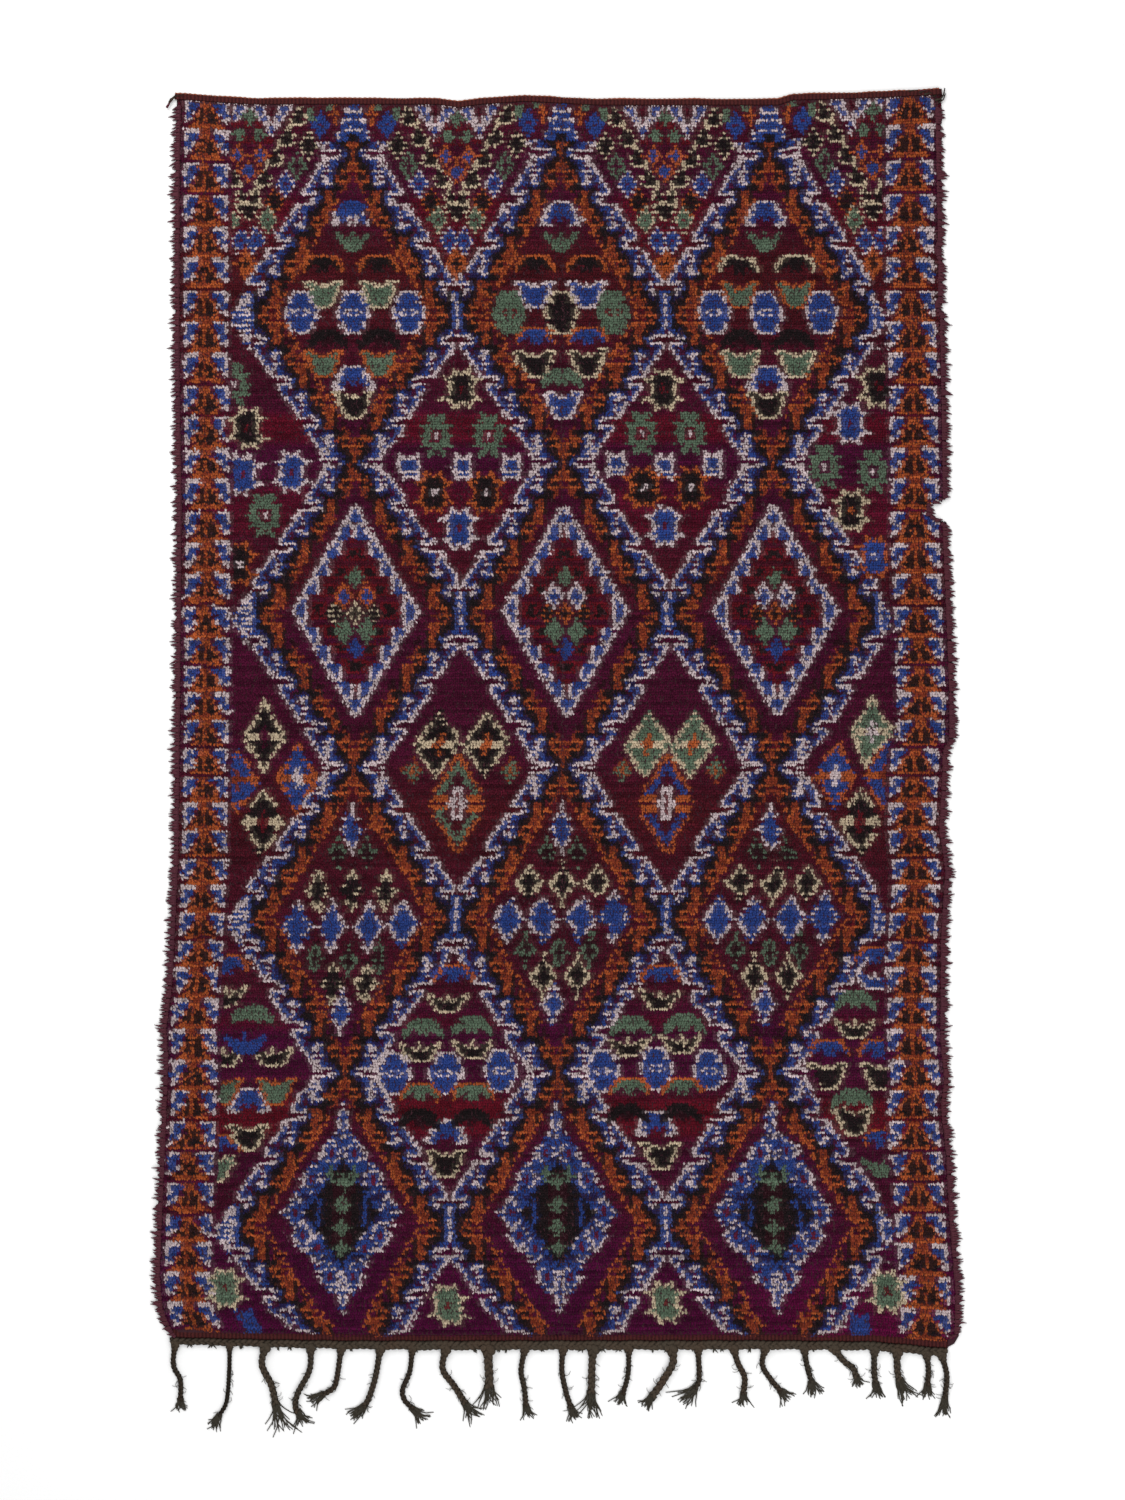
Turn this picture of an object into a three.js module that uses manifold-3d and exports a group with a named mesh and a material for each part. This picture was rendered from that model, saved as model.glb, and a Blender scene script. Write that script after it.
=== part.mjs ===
// A long knotted pile rug of wool, lying flat with its pile up.
// The cloth is one piece: the pile, a thick ragged selvedge down each long side and a flat-woven
// band at each end. At the foot the warps are worked into a braid, from which plaited tassels hang.
// Millimetres. The origin is on the underside, near the middle of the pile. +Y points to the head,
// the end without tassels, +X to the right as seen from above, and +Z up.
import * as THREE from "three";
import Module from "manifold-3d";

const wasm = await Module();
wasm.setup();

// Heights of the cloth above its underside.
const PILE_HEIGHT = 18;
const FLAT_WEAVE_HEIGHT = 4.5;
const SELVEDGE_HEIGHT = 8;

// Widths of the flat-woven bands, and how far the pile takes to rise to its full height.
const HEAD_BAND = 22;
const FOOT_BAND = 12;
const PILE_SLOPE = 18;
const SELVEDGE_WIDTH = 22;
const SELVEDGE_SLOPE = 24;

// The straight lines that the uneven edges are measured from.
const HEAD = 1500;
const FOOT = -1488;
const SIDE = 935;

// How far in from an end, and from a side, the cloth still follows the uneven edge.
const END_PULL = 320;
const SIDE_PULL = 300;

// The lattice of the top: its largest steps.
const COLUMN_STEP = 100;
const ROW_STEP = 70;

// The rug was kept folded lengthways, and the pile still parts along that line.
const CREASE = { x: 10, halfWidth: 20, depth: 5 };

// Low waves in the pile: their height, and their lengths across and along the rug.
const WAVE = { height: 1.5, across: 410, along: 530 };

// The left edge, from head to foot.
const LEFT_EDGE = [
  { y: 1500, x: -922 },
  { y: 1300, x: -926 },
  { y: 820, x: -926 },
  { y: 533, x: -921 },
  { y: 50, x: -925 },
  { y: -310, x: -929 },
  { y: -620, x: -943 },
  { y: -735, x: -958 },
  { y: -815, x: -953 },
  { y: -1150, x: -967 },
  { y: -1330, x: -974 },
  { y: -1410, x: -967 },
  { y: -1455, x: -948 },
  { y: -1488, x: -928 },
];

// The right edge, from head to foot, with the tear near y = 510 and the smaller nicks above it.
const RIGHT_EDGE = [
  { y: 1500, x: 924 },
  { y: 1160, x: 930 },
  { y: 1134, x: 921 },
  { y: 1108, x: 931 },
  { y: 1020, x: 931 },
  { y: 1000, x: 922 },
  { y: 975, x: 935 },
  { y: 700, x: 940 },
  { y: 541, x: 942 },
  { y: 521, x: 903 },
  { y: 497, x: 901 },
  { y: 474, x: 941 },
  { y: 320, x: 948 },
  { y: 50, x: 958 },
  { y: -46, x: 957 },
  { y: -66, x: 943 },
  { y: -260, x: 934 },
  { y: -355, x: 948 },
  { y: -525, x: 937 },
  { y: -765, x: 936 },
  { y: -860, x: 946 },
  { y: -920, x: 937 },
  { y: -1030, x: 949 },
  { y: -1195, x: 958 },
  { y: -1365, x: 972 },
  { y: -1470, x: 970 },
  { y: -1488, x: 938 },
];

// The edge at the head, from left to right, and at the foot, where the braid starts.
const HEAD_EDGE = [
  { x: -935, y: 1506 },
  { x: -800, y: 1500 },
  { x: -290, y: 1500 },
  { x: -238, y: 1492 },
  { x: -185, y: 1500 },
  { x: -80, y: 1507 },
  { x: 100, y: 1498 },
  { x: 530, y: 1498 },
  { x: 565, y: 1510 },
  { x: 725, y: 1514 },
  { x: 935, y: 1524 },
];
const FOOT_EDGE = [
  { x: -935, y: -1481 },
  { x: -715, y: -1486 },
  { x: -500, y: -1489 },
  { x: 500, y: -1488 },
  { x: 760, y: -1491 },
  { x: 935, y: -1507 },
];

// Locks of pile that stand out from the selvedges: their spacing and how far it varies, their least and
// greatest sizes, how far their tips lean along the rug, and how deep they are rooted.
const LOCK = {
  spacing: 42,
  stray: 6,
  reach: [9, 19],
  width: [14, 25],
  height: [6, 9],
  lean: [-8, 4],
  rooted: 12,
};

// The braid at the foot: its width left and right, and the pitch of its strands.
const SEAM = 0.3;
const BRAID = { leftWidth: 15, width: 22, rightWidth: 21, height: 11, pitch: 24, ridge: 2.5 };

// The tassels, left to right. x is the root's place on the braid, path its bends from there, width the
// plait's width, and brush the length and spread of the loose ends.
const TASSELS = [
  { x: -920, path: [[-5, -46], [12, -84], [12, -132]], width: 14, brush: [26, 12] },
  { x: -790, path: [[0, -58], [-7, -130], [-26, -166]], width: 12, brush: [36, 16] },
  { x: -703, path: [[-8, -38], [14, -86], [24, -134]], width: 18, brush: [72, 26] },
  { x: -595, path: [[-2, -48], [-29, -103], [-36, -134], [-30, -150]], width: 16, brush: [38, 14] },
  { x: -521, path: [[-10, -62], [-19, -90], [-48, -108]], width: 15, brush: [36, 18] },
  { x: -427, path: [[-12, -65], [-29, -118], [-41, -134]], width: 16, brush: [42, 24] },
  { x: -350, path: [[-7, -50], [-24, -91], [-19, -118], [2, -139]], width: 14, brush: [42, 18] },
  { x: -269, path: [[-8, -41], [20, -82], [46, -125]], width: 17, brush: [50, 16] },
  { x: -168, path: [[2, -38], [2, -86]], width: 23, brush: [50, 34] },
  { x: -79, path: [[-10, -46], [-2, -89], [2, -132]], width: 15, brush: [30, 16] },
  { x: 12, path: [[-3, -46], [8, -101], [20, -136]], width: 15, brush: [34, 12] },
  { x: 84, path: [[-2, -48], [-5, -100]], width: 20, brush: [62, 22] },
  { x: 170, path: [[-2, -55], [-15, -104]], width: 14, brush: [26, 12] },
  { x: 271, path: [[6, -28], [-20, -72], [-45, -108]], width: 20, brush: [36, 14] },
  { x: 336, path: [[3, -67], [-8, -90]], width: 15, brush: [48, 34] },
  { x: 420, path: [[12, -28], [29, -64], [26, -104]], width: 16, brush: [28, 16] },
  { x: 499, path: [[-8, -34], [15, -72], [38, -98]], width: 15, brush: [30, 20] },
  { x: 590, path: [[9, -38], [20, -76]], width: 15, brush: [34, 26] },
  { x: 660, path: [[26, -22], [50, -40], [58, -62]], width: 17, brush: [24, 10] },
  { x: 760, path: [[0, -43], [4, -78]], width: 16, brush: [36, 18] },
  { x: 814, path: [[2, -38], [8, -64]], width: 18, brush: [56, 30] },
  { x: 884, path: [[6, -29], [4, -70]], width: 15, brush: [32, 22] },
  { x: 920, path: [[14, -41], [10, -98]], width: 15, brush: [46, 20] },
];
const BRUSH_STRANDS = 4;
const STRAND = { width: 3.7, height: 4 };

// A plait's crossings: their spacing, its height against its width, and how far each strand bulges. It
// leaves the braid wider than it goes on.
const PLAIT = { step: 13, height: 0.62, bulge: 0.12, flare: 1.7, flareSteps: 2.5 };

// Roots start this far above the floor, inside what holds them, and reach the floor outside it.
const ROOT_LIFT = 1.2;

const lerp = THREE.MathUtils.lerp;
const clamp = THREE.MathUtils.clamp;

// A number between 0 and 1 that looks random and is the same each time: the fraction of a steep wave.
const STEEP = { place: 12.9898, kind: 78.233, height: 43758.5453 };

function scatter(place, kind) {
  const wave = Math.sin(place * STEEP.place + kind * STEEP.kind) * STEEP.height;
  return wave - Math.floor(wave);
}

function between([least, most], share) {
  return lerp(least, most, share);
}

// Reads an edge table: the value of one column where another column has the value given.
function along(table, key, at, column) {
  const rising = table[0][key] < table[table.length - 1][key];
  const rows = rising ? table : [...table].reverse();
  const place = clamp(at, rows[0][key], rows[rows.length - 1][key]);
  const next = Math.max(rows.findIndex((row) => row[key] >= place), 1);
  const [before, after] = [rows[next - 1], rows[next]];
  const share = (place - before[key]) / (after[key] - before[key]);
  return lerp(before[column], after[column], share);
}

// The stops given, from low to high, with even steps added so that none is longer than the largest.
function filled(stops, largest, least = 0.5) {
  const sorted = [...stops].sort((a, b) => a - b);
  const made = [sorted[0]];
  for (const stop of sorted.slice(1)) {
    const last = made[made.length - 1];
    if (stop - last < least) continue;
    const steps = Math.ceil((stop - last) / largest);
    for (let i = 1; i <= steps; i++) made.push(lerp(last, stop, i / steps));
  }
  return made;
}

// A closed surface, written corner by corner and face by face.
class Shell {
  corners = [];
  faces = [];

  corner(x, y, z) {
    this.corners.push(x, y, z);
    return this.corners.length / 3 - 1;
  }

  triangle(a, b, c) {
    this.faces.push(a, b, c);
  }

  quad(a, b, c, d) {
    this.triangle(a, b, c);
    this.triangle(a, c, d);
  }

  solid() {
    const vertProperties = new Float32Array(this.corners);
    const triVerts = new Uint32Array(this.faces);
    return new wasm.Manifold(new wasm.Mesh({ numProp: 3, vertProperties, triVerts }));
  }
}

// A solid through a row of sections, each a loop of the same number of points. Seen along the row the
// loops run clockwise.
function loft(sections) {
  const shell = new Shell();
  const rings = sections.map((loop) => loop.map((p) => shell.corner(p.x, p.y, p.z)));
  const sides = rings[0].length;
  for (let i = 1; i < rings.length; i++)
    for (let j = 0; j < sides; j++) {
      const k = (j + 1) % sides;
      shell.quad(rings[i - 1][j], rings[i - 1][k], rings[i][k], rings[i][j]);
    }
  const [first, last] = [rings[0], rings[rings.length - 1]];
  for (let j = 2; j < sides; j++) {
    shell.triangle(first[0], first[j], first[j - 1]);
    shell.triangle(last[0], last[j - 1], last[j]);
  }
  return shell.solid();
}

function smoothStep(distance, start, length) {
  return THREE.MathUtils.smoothstep(distance, start, start + length);
}

// How much of an uneven edge's departure a place takes up: all of it at the edge, none far in.
function pull(distance, reach) {
  return 1 - THREE.MathUtils.smoothstep(distance, 0, reach);
}

// Where a place on the straight-edged rug lies on the real, uneven one.
function onRug(x, y) {
  const side = x < 0 ? LEFT_EDGE : RIGHT_EDGE;
  const sideMove = along(side, "y", y, "x") - Math.sign(x) * SIDE;
  const [end, line] = y > 0 ? [HEAD_EDGE, HEAD] : [FOOT_EDGE, FOOT];
  const endMove = along(end, "x", x, "y") - line;
  return {
    x: x + sideMove * pull(SIDE - Math.abs(x), SIDE_PULL),
    y: y + endMove * pull(Math.abs(line - y), END_PULL),
  };
}

// The height of the cloth at a place on the straight-edged rug.
function heightAt(x, y) {
  const fromEnd = y > 0 ? HEAD - y - HEAD_BAND : y - FOOT - FOOT_BAND;
  const ends = smoothStep(fromEnd, 0, PILE_SLOPE);
  const sides = smoothStep(SIDE - Math.abs(x), 0, SELVEDGE_WIDTH + SELVEDGE_SLOPE);
  const parting = Math.max(1 - Math.abs(x - CREASE.x) / CREASE.halfWidth, 0);
  const turn = 2 * Math.PI;
  const waves = Math.sin((turn * x) / WAVE.across + y / WAVE.along) * Math.cos((turn * y) / WAVE.along);
  const pile = PILE_HEIGHT + WAVE.height * waves - CREASE.depth * parting;
  const across = lerp(SELVEDGE_HEIGHT, pile, sides);
  return lerp(FLAT_WEAVE_HEIGHT, across, ends);
}

function columnsOfRug() {
  const { x, halfWidth } = CREASE;
  const inner = SIDE - SELVEDGE_WIDTH - SELVEDGE_SLOPE;
  const feet = FOOT_EDGE.map((stop) => stop.x);
  const stops = [...feet, -inner, -SIDE + SELVEDGE_WIDTH, x - halfWidth, x, x + halfWidth];
  return filled([...stops, SIDE - SELVEDGE_WIDTH, inner], COLUMN_STEP);
}

function rowsOfRug() {
  const edges = [...LEFT_EDGE, ...RIGHT_EDGE].map((stop) => stop.y);
  const pileHead = HEAD - HEAD_BAND;
  const pileFoot = FOOT + FOOT_BAND;
  const ends = [pileHead, pileHead - PILE_SLOPE, pileFoot, pileFoot + PILE_SLOPE];
  return filled([...edges, ...ends], ROW_STEP, 7);
}

// The cloth without its locks: a lattice for the top, walls round the rim, and a flat underside.
function clothSlab(columns, rows) {
  const shell = new Shell();
  const corner = (x, y, height) => {
    const place = onRug(x, y);
    return shell.corner(place.x, place.y, height);
  };
  const top = rows.map((y) => columns.map((x) => corner(x, y, heightAt(x, y))));
  const [lastRow, lastColumn] = [rows.length - 1, columns.length - 1];
  for (let i = 0; i < lastRow; i++)
    for (let j = 0; j < lastColumn; j++)
      shell.quad(top[i][j], top[i][j + 1], top[i + 1][j + 1], top[i + 1][j]);

  const left = rows.map((y) => corner(columns[0], y, 0));
  const right = rows.map((y) => corner(columns[lastColumn], y, 0));
  const endOf = (row) => {
    const inner = columns.slice(1, -1).map((x) => corner(x, rows[row], 0));
    return [left[row], ...inner, right[row]];
  };
  const foot = endOf(0);
  const head = endOf(lastRow);
  for (let j = 0; j < lastColumn; j++) {
    shell.quad(foot[j], foot[j + 1], top[0][j + 1], top[0][j]);
    shell.quad(head[j + 1], head[j], top[lastRow][j], top[lastRow][j + 1]);
    shell.triangle(left[1], foot[j + 1], foot[j]);
    shell.triangle(left[lastRow - 1], head[j], head[j + 1]);
  }
  shell.triangle(left[1], right[1], foot[lastColumn]);
  shell.triangle(left[lastRow - 1], head[lastColumn], right[lastRow - 1]);
  for (let i = 0; i < lastRow; i++) {
    shell.quad(left[i], top[i][0], top[i + 1][0], left[i + 1]);
    shell.quad(right[i], right[i + 1], top[i + 1][lastColumn], top[i][lastColumn]);
    if (i > 0 && i < lastRow - 1) shell.quad(left[i], left[i + 1], right[i + 1], right[i]);
  }
  return shell.solid();
}

// One lock of pile, three-sided, flat underneath, from inside the selvedge out to its tip.
function lock(sign, y, number) {
  const reach = between(LOCK.reach, scatter(number, 1));
  const width = between(LOCK.width, scatter(number, 2));
  const height = between(LOCK.height, scatter(number, 3));
  const lean = between(LOCK.lean, scatter(number, 4));
  const root = onRug(sign * SIDE, y);
  const parts = [
    { out: -LOCK.rooted, floor: ROOT_LIFT, wide: 1, high: 1, lean: 0 },
    { out: reach * 0.4, floor: 0, wide: 0.9, high: 0.9, lean: 0.3 },
    { out: reach, floor: 0, wide: 0.3, high: 0.45, lean: 1 },
  ];
  return loft(
    parts.map((part) => {
      const x = root.x + sign * part.out;
      const middle = root.y + lean * part.lean;
      const half = (width * part.wide) / 2;
      return [
        new THREE.Vector3(x, middle - sign * half, part.floor),
        new THREE.Vector3(x, middle + sign * half, part.floor),
        new THREE.Vector3(x, middle, height * part.high),
      ];
    }),
  );
}

function locksOfSide(sign) {
  const clear = LOCK.width[1];
  const count = Math.floor((HEAD - FOOT - 2 * clear) / LOCK.spacing);
  return Array.from({ length: count }, (_, i) => {
    const number = sign > 0 ? i + 1 : i + 1 + count;
    const shift = between([-LOCK.stray, LOCK.stray], scatter(number, 5));
    return lock(sign, FOOT + clear + (i + 0.5) * LOCK.spacing + shift, number);
  });
}

function braidWidth(x) {
  const third = SIDE / 3;
  if (x < -third) return lerp(BRAID.leftWidth, BRAID.width, smoothStep(x, -SIDE + third, third));
  return lerp(BRAID.width, BRAID.rightWidth, smoothStep(x, third, third));
}

// The cloth's bottom rim, as the points that the braid follows.
function footLine(columns) {
  return columns.map((x) => onRug(x, FOOT));
}

function footAt(line, x) {
  return along(line, "x", x, "y");
}

// The braid: a low strip along the foot whose top rises and falls as its strands cross.
function braid(line) {
  const stops = filled(line.map((place) => place.x), BRAID.pitch / 2, 0);
  return loft(
    stops.map((x, i) => {
      const seam = footAt(line, x) - SEAM;
      const wide = braidWidth(x);
      const crest = (i % 2 ? 1 : -1) * (BRAID.ridge / 2);
      return [
        new THREE.Vector3(x, seam, 0),
        new THREE.Vector3(x, seam, FLAT_WEAVE_HEIGHT),
        new THREE.Vector3(x, seam - wide * 0.3, BRAID.height + crest),
        new THREE.Vector3(x, seam - wide * 0.75, BRAID.height * 0.8 - crest),
        new THREE.Vector3(x, seam - wide - crest / 2, 0),
      ];
    }),
  );
}

// A section of a strand or plait: its middle, the way it runs, its width, and the height of its ridge,
// or of its left and right ridges. Its underside is level.
function flatLoop(middle, way, width, ridges) {
  const side = new THREE.Vector3(-way.y, way.x, 0);
  const at = (share, height) => {
    const place = middle.clone().addScaledVector(side, width * share);
    return place.setZ(middle.z + height);
  };
  const top = ridges.length === 1 ? [at(0, ridges[0])] : [at(0.28, ridges[0]), at(-0.28, ridges[1])];
  return [at(-0.5, 0), at(0.5, 0), ...top];
}

// The plait of a tassel along its bends, with its strands standing up in turn on the left and right.
function plaitOf(curve, width) {
  const steps = Math.round(curve.getLength() / PLAIT.step);
  const tall = width * PLAIT.height;
  const loops = Array.from({ length: steps + 1 }, (_, i) => {
    const middle = curve.getPointAt(i / steps).setZ(i === 0 ? ROOT_LIFT : 0);
    const flare = lerp(1, PLAIT.flare, pull(i, PLAIT.flareSteps));
    const swell = 1 + PLAIT.bulge * (i % 2 ? 1 : -1);
    const ridges = i % 2 ? [tall, tall * 0.8] : [tall * 0.8, tall];
    return flatLoop(middle, curve.getTangentAt(i / steps), width * flare * swell, ridges);
  });
  return loft(loops);
}

// The loose strands at the end of a plait, fanned out.
function brushOf(curve, width, [length, spread], number) {
  const end = curve.getPointAt(1);
  const way = curve.getTangentAt(1);
  const side = new THREE.Vector3(-way.y, way.x, 0);
  const place = (along, across) =>
    end.clone().addScaledVector(way, along).addScaledVector(side, across);
  return Array.from({ length: BRUSH_STRANDS }, (_, i) => {
    const across = i / (BRUSH_STRANDS - 1) - 0.5;
    const far = length * (0.72 + 0.28 * scatter(number * BRUSH_STRANDS + i, 6));
    const root = place(-STRAND.width, across * width * 0.85).setZ(ROOT_LIFT);
    const neck = place(far * 0.3, across * Math.max(width * 1.15, spread * 0.8));
    const tip = place(far, across * spread * 1.3);
    const sizes = [1, 0.9, 0.4];
    const ways = [way, tip.clone().sub(neck).normalize(), tip.clone().sub(neck).normalize()];
    return loft(
      [root, neck, tip].map((middle, j) =>
        flatLoop(middle, ways[j], STRAND.width * sizes[j], [STRAND.height * sizes[j]]),
      ),
    );
  });
}

// One tassel: its plait, rooted in the braid, and its brush.
function tassel(line, { x, path, width, brush }, number) {
  const seam = footAt(line, x);
  const root = new THREE.Vector3(x, seam - braidWidth(x) * 0.6, 0);
  const bends = path.map(([dx, dy]) => new THREE.Vector3(x + dx, seam - braidWidth(x) + dy, 0));
  const curve = new THREE.CatmullRomCurve3([root, ...bends], false, "centripetal");
  return [plaitOf(curve, width), ...brushOf(curve, width, brush, number)];
}

function joined(solids) {
  return wasm.Manifold.union(solids);
}

// A named mesh that wears the colour, roughness and metalness of its yarn.
function meshOf(name, solid, colour, roughness) {
  const { vertProperties, triVerts } = solid.getMesh();
  const geometry = new THREE.BufferGeometry();
  geometry.setAttribute("position", new THREE.BufferAttribute(vertProperties, 3));
  geometry.setIndex(new THREE.BufferAttribute(triVerts, 1));
  geometry.computeVertexNormals();
  const material = new THREE.MeshStandardMaterial({ color: colour, roughness, metalness: 0 });
  const mesh = new THREE.Mesh(geometry, material);
  mesh.name = name;
  return mesh;
}

const columns = columnsOfRug();
const rows = rowsOfRug();
const line = footLine(columns);

const cloth = joined([clothSlab(columns, rows), ...locksOfSide(-1), ...locksOfSide(1)]);
const tassels = TASSELS.flatMap((row, i) => tassel(line, row, i + 1));
const fringe = joined([braid(line), ...tassels]);

const rug = new THREE.Group();
rug.add(meshOf("rug_cloth", cloth, "#4b1428", 0.95));
rug.add(meshOf("braid_and_tassels", fringe, "#37302a", 0.9));

export default rug;
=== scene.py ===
# %% [markdown]
# # A long knotted rug with a tasselled foot
# The rug lies flat with its pile up. On the real object each knot is a short tuft of wool tied round
# two warps, and the pattern is nothing but the colours of these knots, row after row. So the rug is
# built here as it was made: a ground cloth, a chart of coloured knots, one tuft for each knot, and
# then the edges, the braid and the tassels.
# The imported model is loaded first. It is a fixed frame in metres: +Y points to the head, the end
# without tassels, and the underside lies at height 0.

# %% Load the frame and measure it
import math
import bpy
import numpy as np
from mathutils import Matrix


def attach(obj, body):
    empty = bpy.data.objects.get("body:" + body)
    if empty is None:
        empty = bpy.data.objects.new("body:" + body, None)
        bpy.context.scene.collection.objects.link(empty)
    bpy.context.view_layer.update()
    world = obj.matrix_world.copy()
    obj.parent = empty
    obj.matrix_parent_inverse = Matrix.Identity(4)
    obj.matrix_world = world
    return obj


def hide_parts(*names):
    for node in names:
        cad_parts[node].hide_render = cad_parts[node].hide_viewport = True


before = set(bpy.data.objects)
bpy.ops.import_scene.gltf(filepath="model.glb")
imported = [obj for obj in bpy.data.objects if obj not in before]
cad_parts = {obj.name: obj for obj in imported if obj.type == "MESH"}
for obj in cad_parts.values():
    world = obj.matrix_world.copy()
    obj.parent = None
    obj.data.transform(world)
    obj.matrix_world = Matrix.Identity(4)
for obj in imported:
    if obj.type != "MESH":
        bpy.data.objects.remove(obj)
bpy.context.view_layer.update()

MM = 0.001

# %% [markdown]
# ## Camera, floor and light
# The rug is seen from straight above, so its long side runs up the picture. A camera six metres up
# with a lens of 60 mm takes in 3.6 m of floor, and its small perspective is that of a real studio.
# The floor is a plain pale sheet of card, and the light comes from a wide soft panel and the room.

# %% Camera
PICTURE_ROWS = 1500
FLOOR_IN_VIEW = 3.6
CAMERA_UP = 6.0
MIDDLE_OF_PILE = 0.015
VIEW_MIDDLE = (0.011, -0.067)
SENSOR = 36


def nothing_selected():
    if bpy.context.object and bpy.context.object.mode != "OBJECT":
        bpy.ops.object.mode_set(mode="OBJECT")
    bpy.ops.object.select_all(action="DESELECT")


nothing_selected()
bpy.ops.object.camera_add(location=(*VIEW_MIDDLE, CAMERA_UP), rotation=(0, 0, 0))
camera = bpy.context.object
camera.name = "camera_from_above"
camera.data.sensor_width = SENSOR
camera.data.lens = SENSOR * (CAMERA_UP - MIDDLE_OF_PILE) / FLOOR_IN_VIEW
camera.data.clip_end = 100
bpy.context.scene.camera = camera
print("millimetres of floor in one picture row:", round(FLOOR_IN_VIEW * 1000 / PICTURE_ROWS, 2))

# %% [markdown]
# ## Shader maths
# A shader is a net of nodes. Written as Python it stays readable: Signal wraps a socket, and a sum on
# signals adds its Math nodes. Finish is one material, and its add method makes any other node.

# %% Signals and finishes
class Signal:
    def __init__(self, finish, socket):
        self.finish = finish
        self.socket = socket

    def maths(self, operation, first, second):
        return self.finish.add("ShaderNodeMath", {"operation": operation}, {0: first, 1: second})

    def __add__(self, other):
        return self.maths("ADD", self, other)

    def __mul__(self, other):
        return self.maths("MULTIPLY", self, other)

    __radd__ = __add__
    __rmul__ = __mul__


class Finish:
    def __init__(self, name):
        self.material = bpy.data.materials.new(name)
        self.material.use_nodes = True
        self.tree = self.material.node_tree
        self.shader = self.tree.nodes["Principled BSDF"]

    def feed(self, socket, value):
        if isinstance(value, Signal):
            self.tree.links.new(value.socket, socket)
        else:
            socket.default_value = value

    def add(self, kind, settings=None, inputs=None, output=0):
        node = self.tree.nodes.new(kind)
        for name, value in (settings or {}).items():
            setattr(node, name, value)
        for name, value in (inputs or {}).items():
            self.feed(node.inputs[name], value)
        return Signal(self, node.outputs[output])

    def place(self, scale=(1, 1, 1)):
        where = self.add("ShaderNodeTexCoord", output="Object")
        return self.add("ShaderNodeMapping", inputs={"Vector": where, "Scale": scale})

    def noise(self, scale, detail=2, place=None):
        values = {"Vector": place or self.place(), "Scale": scale, "Detail": detail}
        return self.add("ShaderNodeTexNoise", inputs=values)

    def fibres(self, stretch, detail=3):
        """Fine noise, finer along the axes with the larger numbers."""
        return self.noise(1.0, detail, self.place(stretch))

    def mix(self, share, first, second, blend="MIX"):
        settings = {"data_type": "RGBA", "blend_type": blend}
        return self.add("ShaderNodeMix", settings, {0: share, 6: first, 7: second}, output=2)

    def grey(self, value):
        return self.add("ShaderNodeCombineColor", inputs={0: value, 1: value, 2: value})

    def bump(self, height, distance, strength):
        values = {"Height": height, "Distance": distance, "Strength": strength}
        return self.add("ShaderNodeBump", inputs=values)

    def wear(self, **values):
        for name, value in values.items():
            self.feed(self.shader.inputs[name.replace("_", " ")], value)


def linear(colour):
    """A colour as it is seen on a screen, from 0 to 255, turned into the light that it gives back."""
    share = np.asarray(colour, float) / 255
    return np.where(share <= 0.04045, share / 12.92, ((share + 0.055) / 1.055) ** 2.4)


def rgba(*colour):
    return (*linear(colour), 1.0)


# %% Floor and light
card = Finish("pale_card")
card_grain = card.noise(220, detail=3)
card.wear(
    Base_Color=card.mix(card_grain, rgba(243, 243, 243), rgba(249, 249, 249)),
    Roughness=0.9,
    Normal=card.bump(card_grain, 0.0004, 0.2),
)

FLOOR_WIDE = 14
nothing_selected()
bpy.ops.mesh.primitive_plane_add(size=FLOOR_WIDE, location=(0, 0, -0.0005))
floor = bpy.context.object
floor.name = "floor"
bpy.ops.object.transform_apply(location=True, rotation=True, scale=True)
floor.data.materials.append(card.material)

LIGHTS = [
    {"name": "panel_over_head", "at": (-1.6, 2.4, 4.2), "size": 3.6, "power": 150},
    {"name": "panel_over_foot", "at": (1.6, -2.6, 4.4), "size": 3.6, "power": 110},
]
for row in LIGHTS:
    bpy.ops.object.light_add(type="AREA", location=row["at"])
    panel = bpy.context.object
    panel.name = row["name"]
    panel.data.size = row["size"]
    panel.data.energy = row["power"]
    away = np.array(row["at"])
    tilt = math.atan2(math.hypot(away[0], away[1]), away[2])
    panel.rotation_euler = (tilt, 0, math.atan2(away[0], -away[1]))

room = bpy.data.worlds.new("room")
bpy.context.scene.world = room
room.use_nodes = True
daylight = room.node_tree.nodes["Background"]
daylight.inputs["Color"].default_value = (1, 1, 1, 1)
daylight.inputs["Strength"].default_value = 0.55
# Shown without a film curve, so that white card stays white and the dyes keep their strength.
bpy.context.scene.view_settings.view_transform = "Standard"
print("lights:", [row["name"] for row in LIGHTS])

# %% [markdown]
# ## The shape of the cloth
# A hand-made rug is never quite straight. Its edges are kept in short tables, and a place on a rug
# with straight edges is moved to where it lies on the real one. The pile is highest in the field and
# falls away to the selvedges and the flat-woven ends. The rug was kept folded lengthways, so the pile
# still parts along that line.

# %% Edges and heights
HEAD, FOOT, SIDE = 1.500, -1.488, 0.935
HEAD_BAND, FOOT_BAND = 0.013, 0.012
PILE, FLAT_WEAVE, SELVEDGE = 0.018, 0.0045, 0.008
PILE_SLOPE, SIDE_SLOPE = 0.018, 0.046
CREASE_X, CREASE_HALF, CREASE_DEPTH = 0.010, 0.020, 0.005
WAVE_HIGH, WAVE_ACROSS, WAVE_ALONG = 0.0015, 0.41, 0.53
# How far in from a side, and from an end, the rug still follows its uneven edge.
SIDE_PULL, END_PULL = 0.3, 0.32

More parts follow.
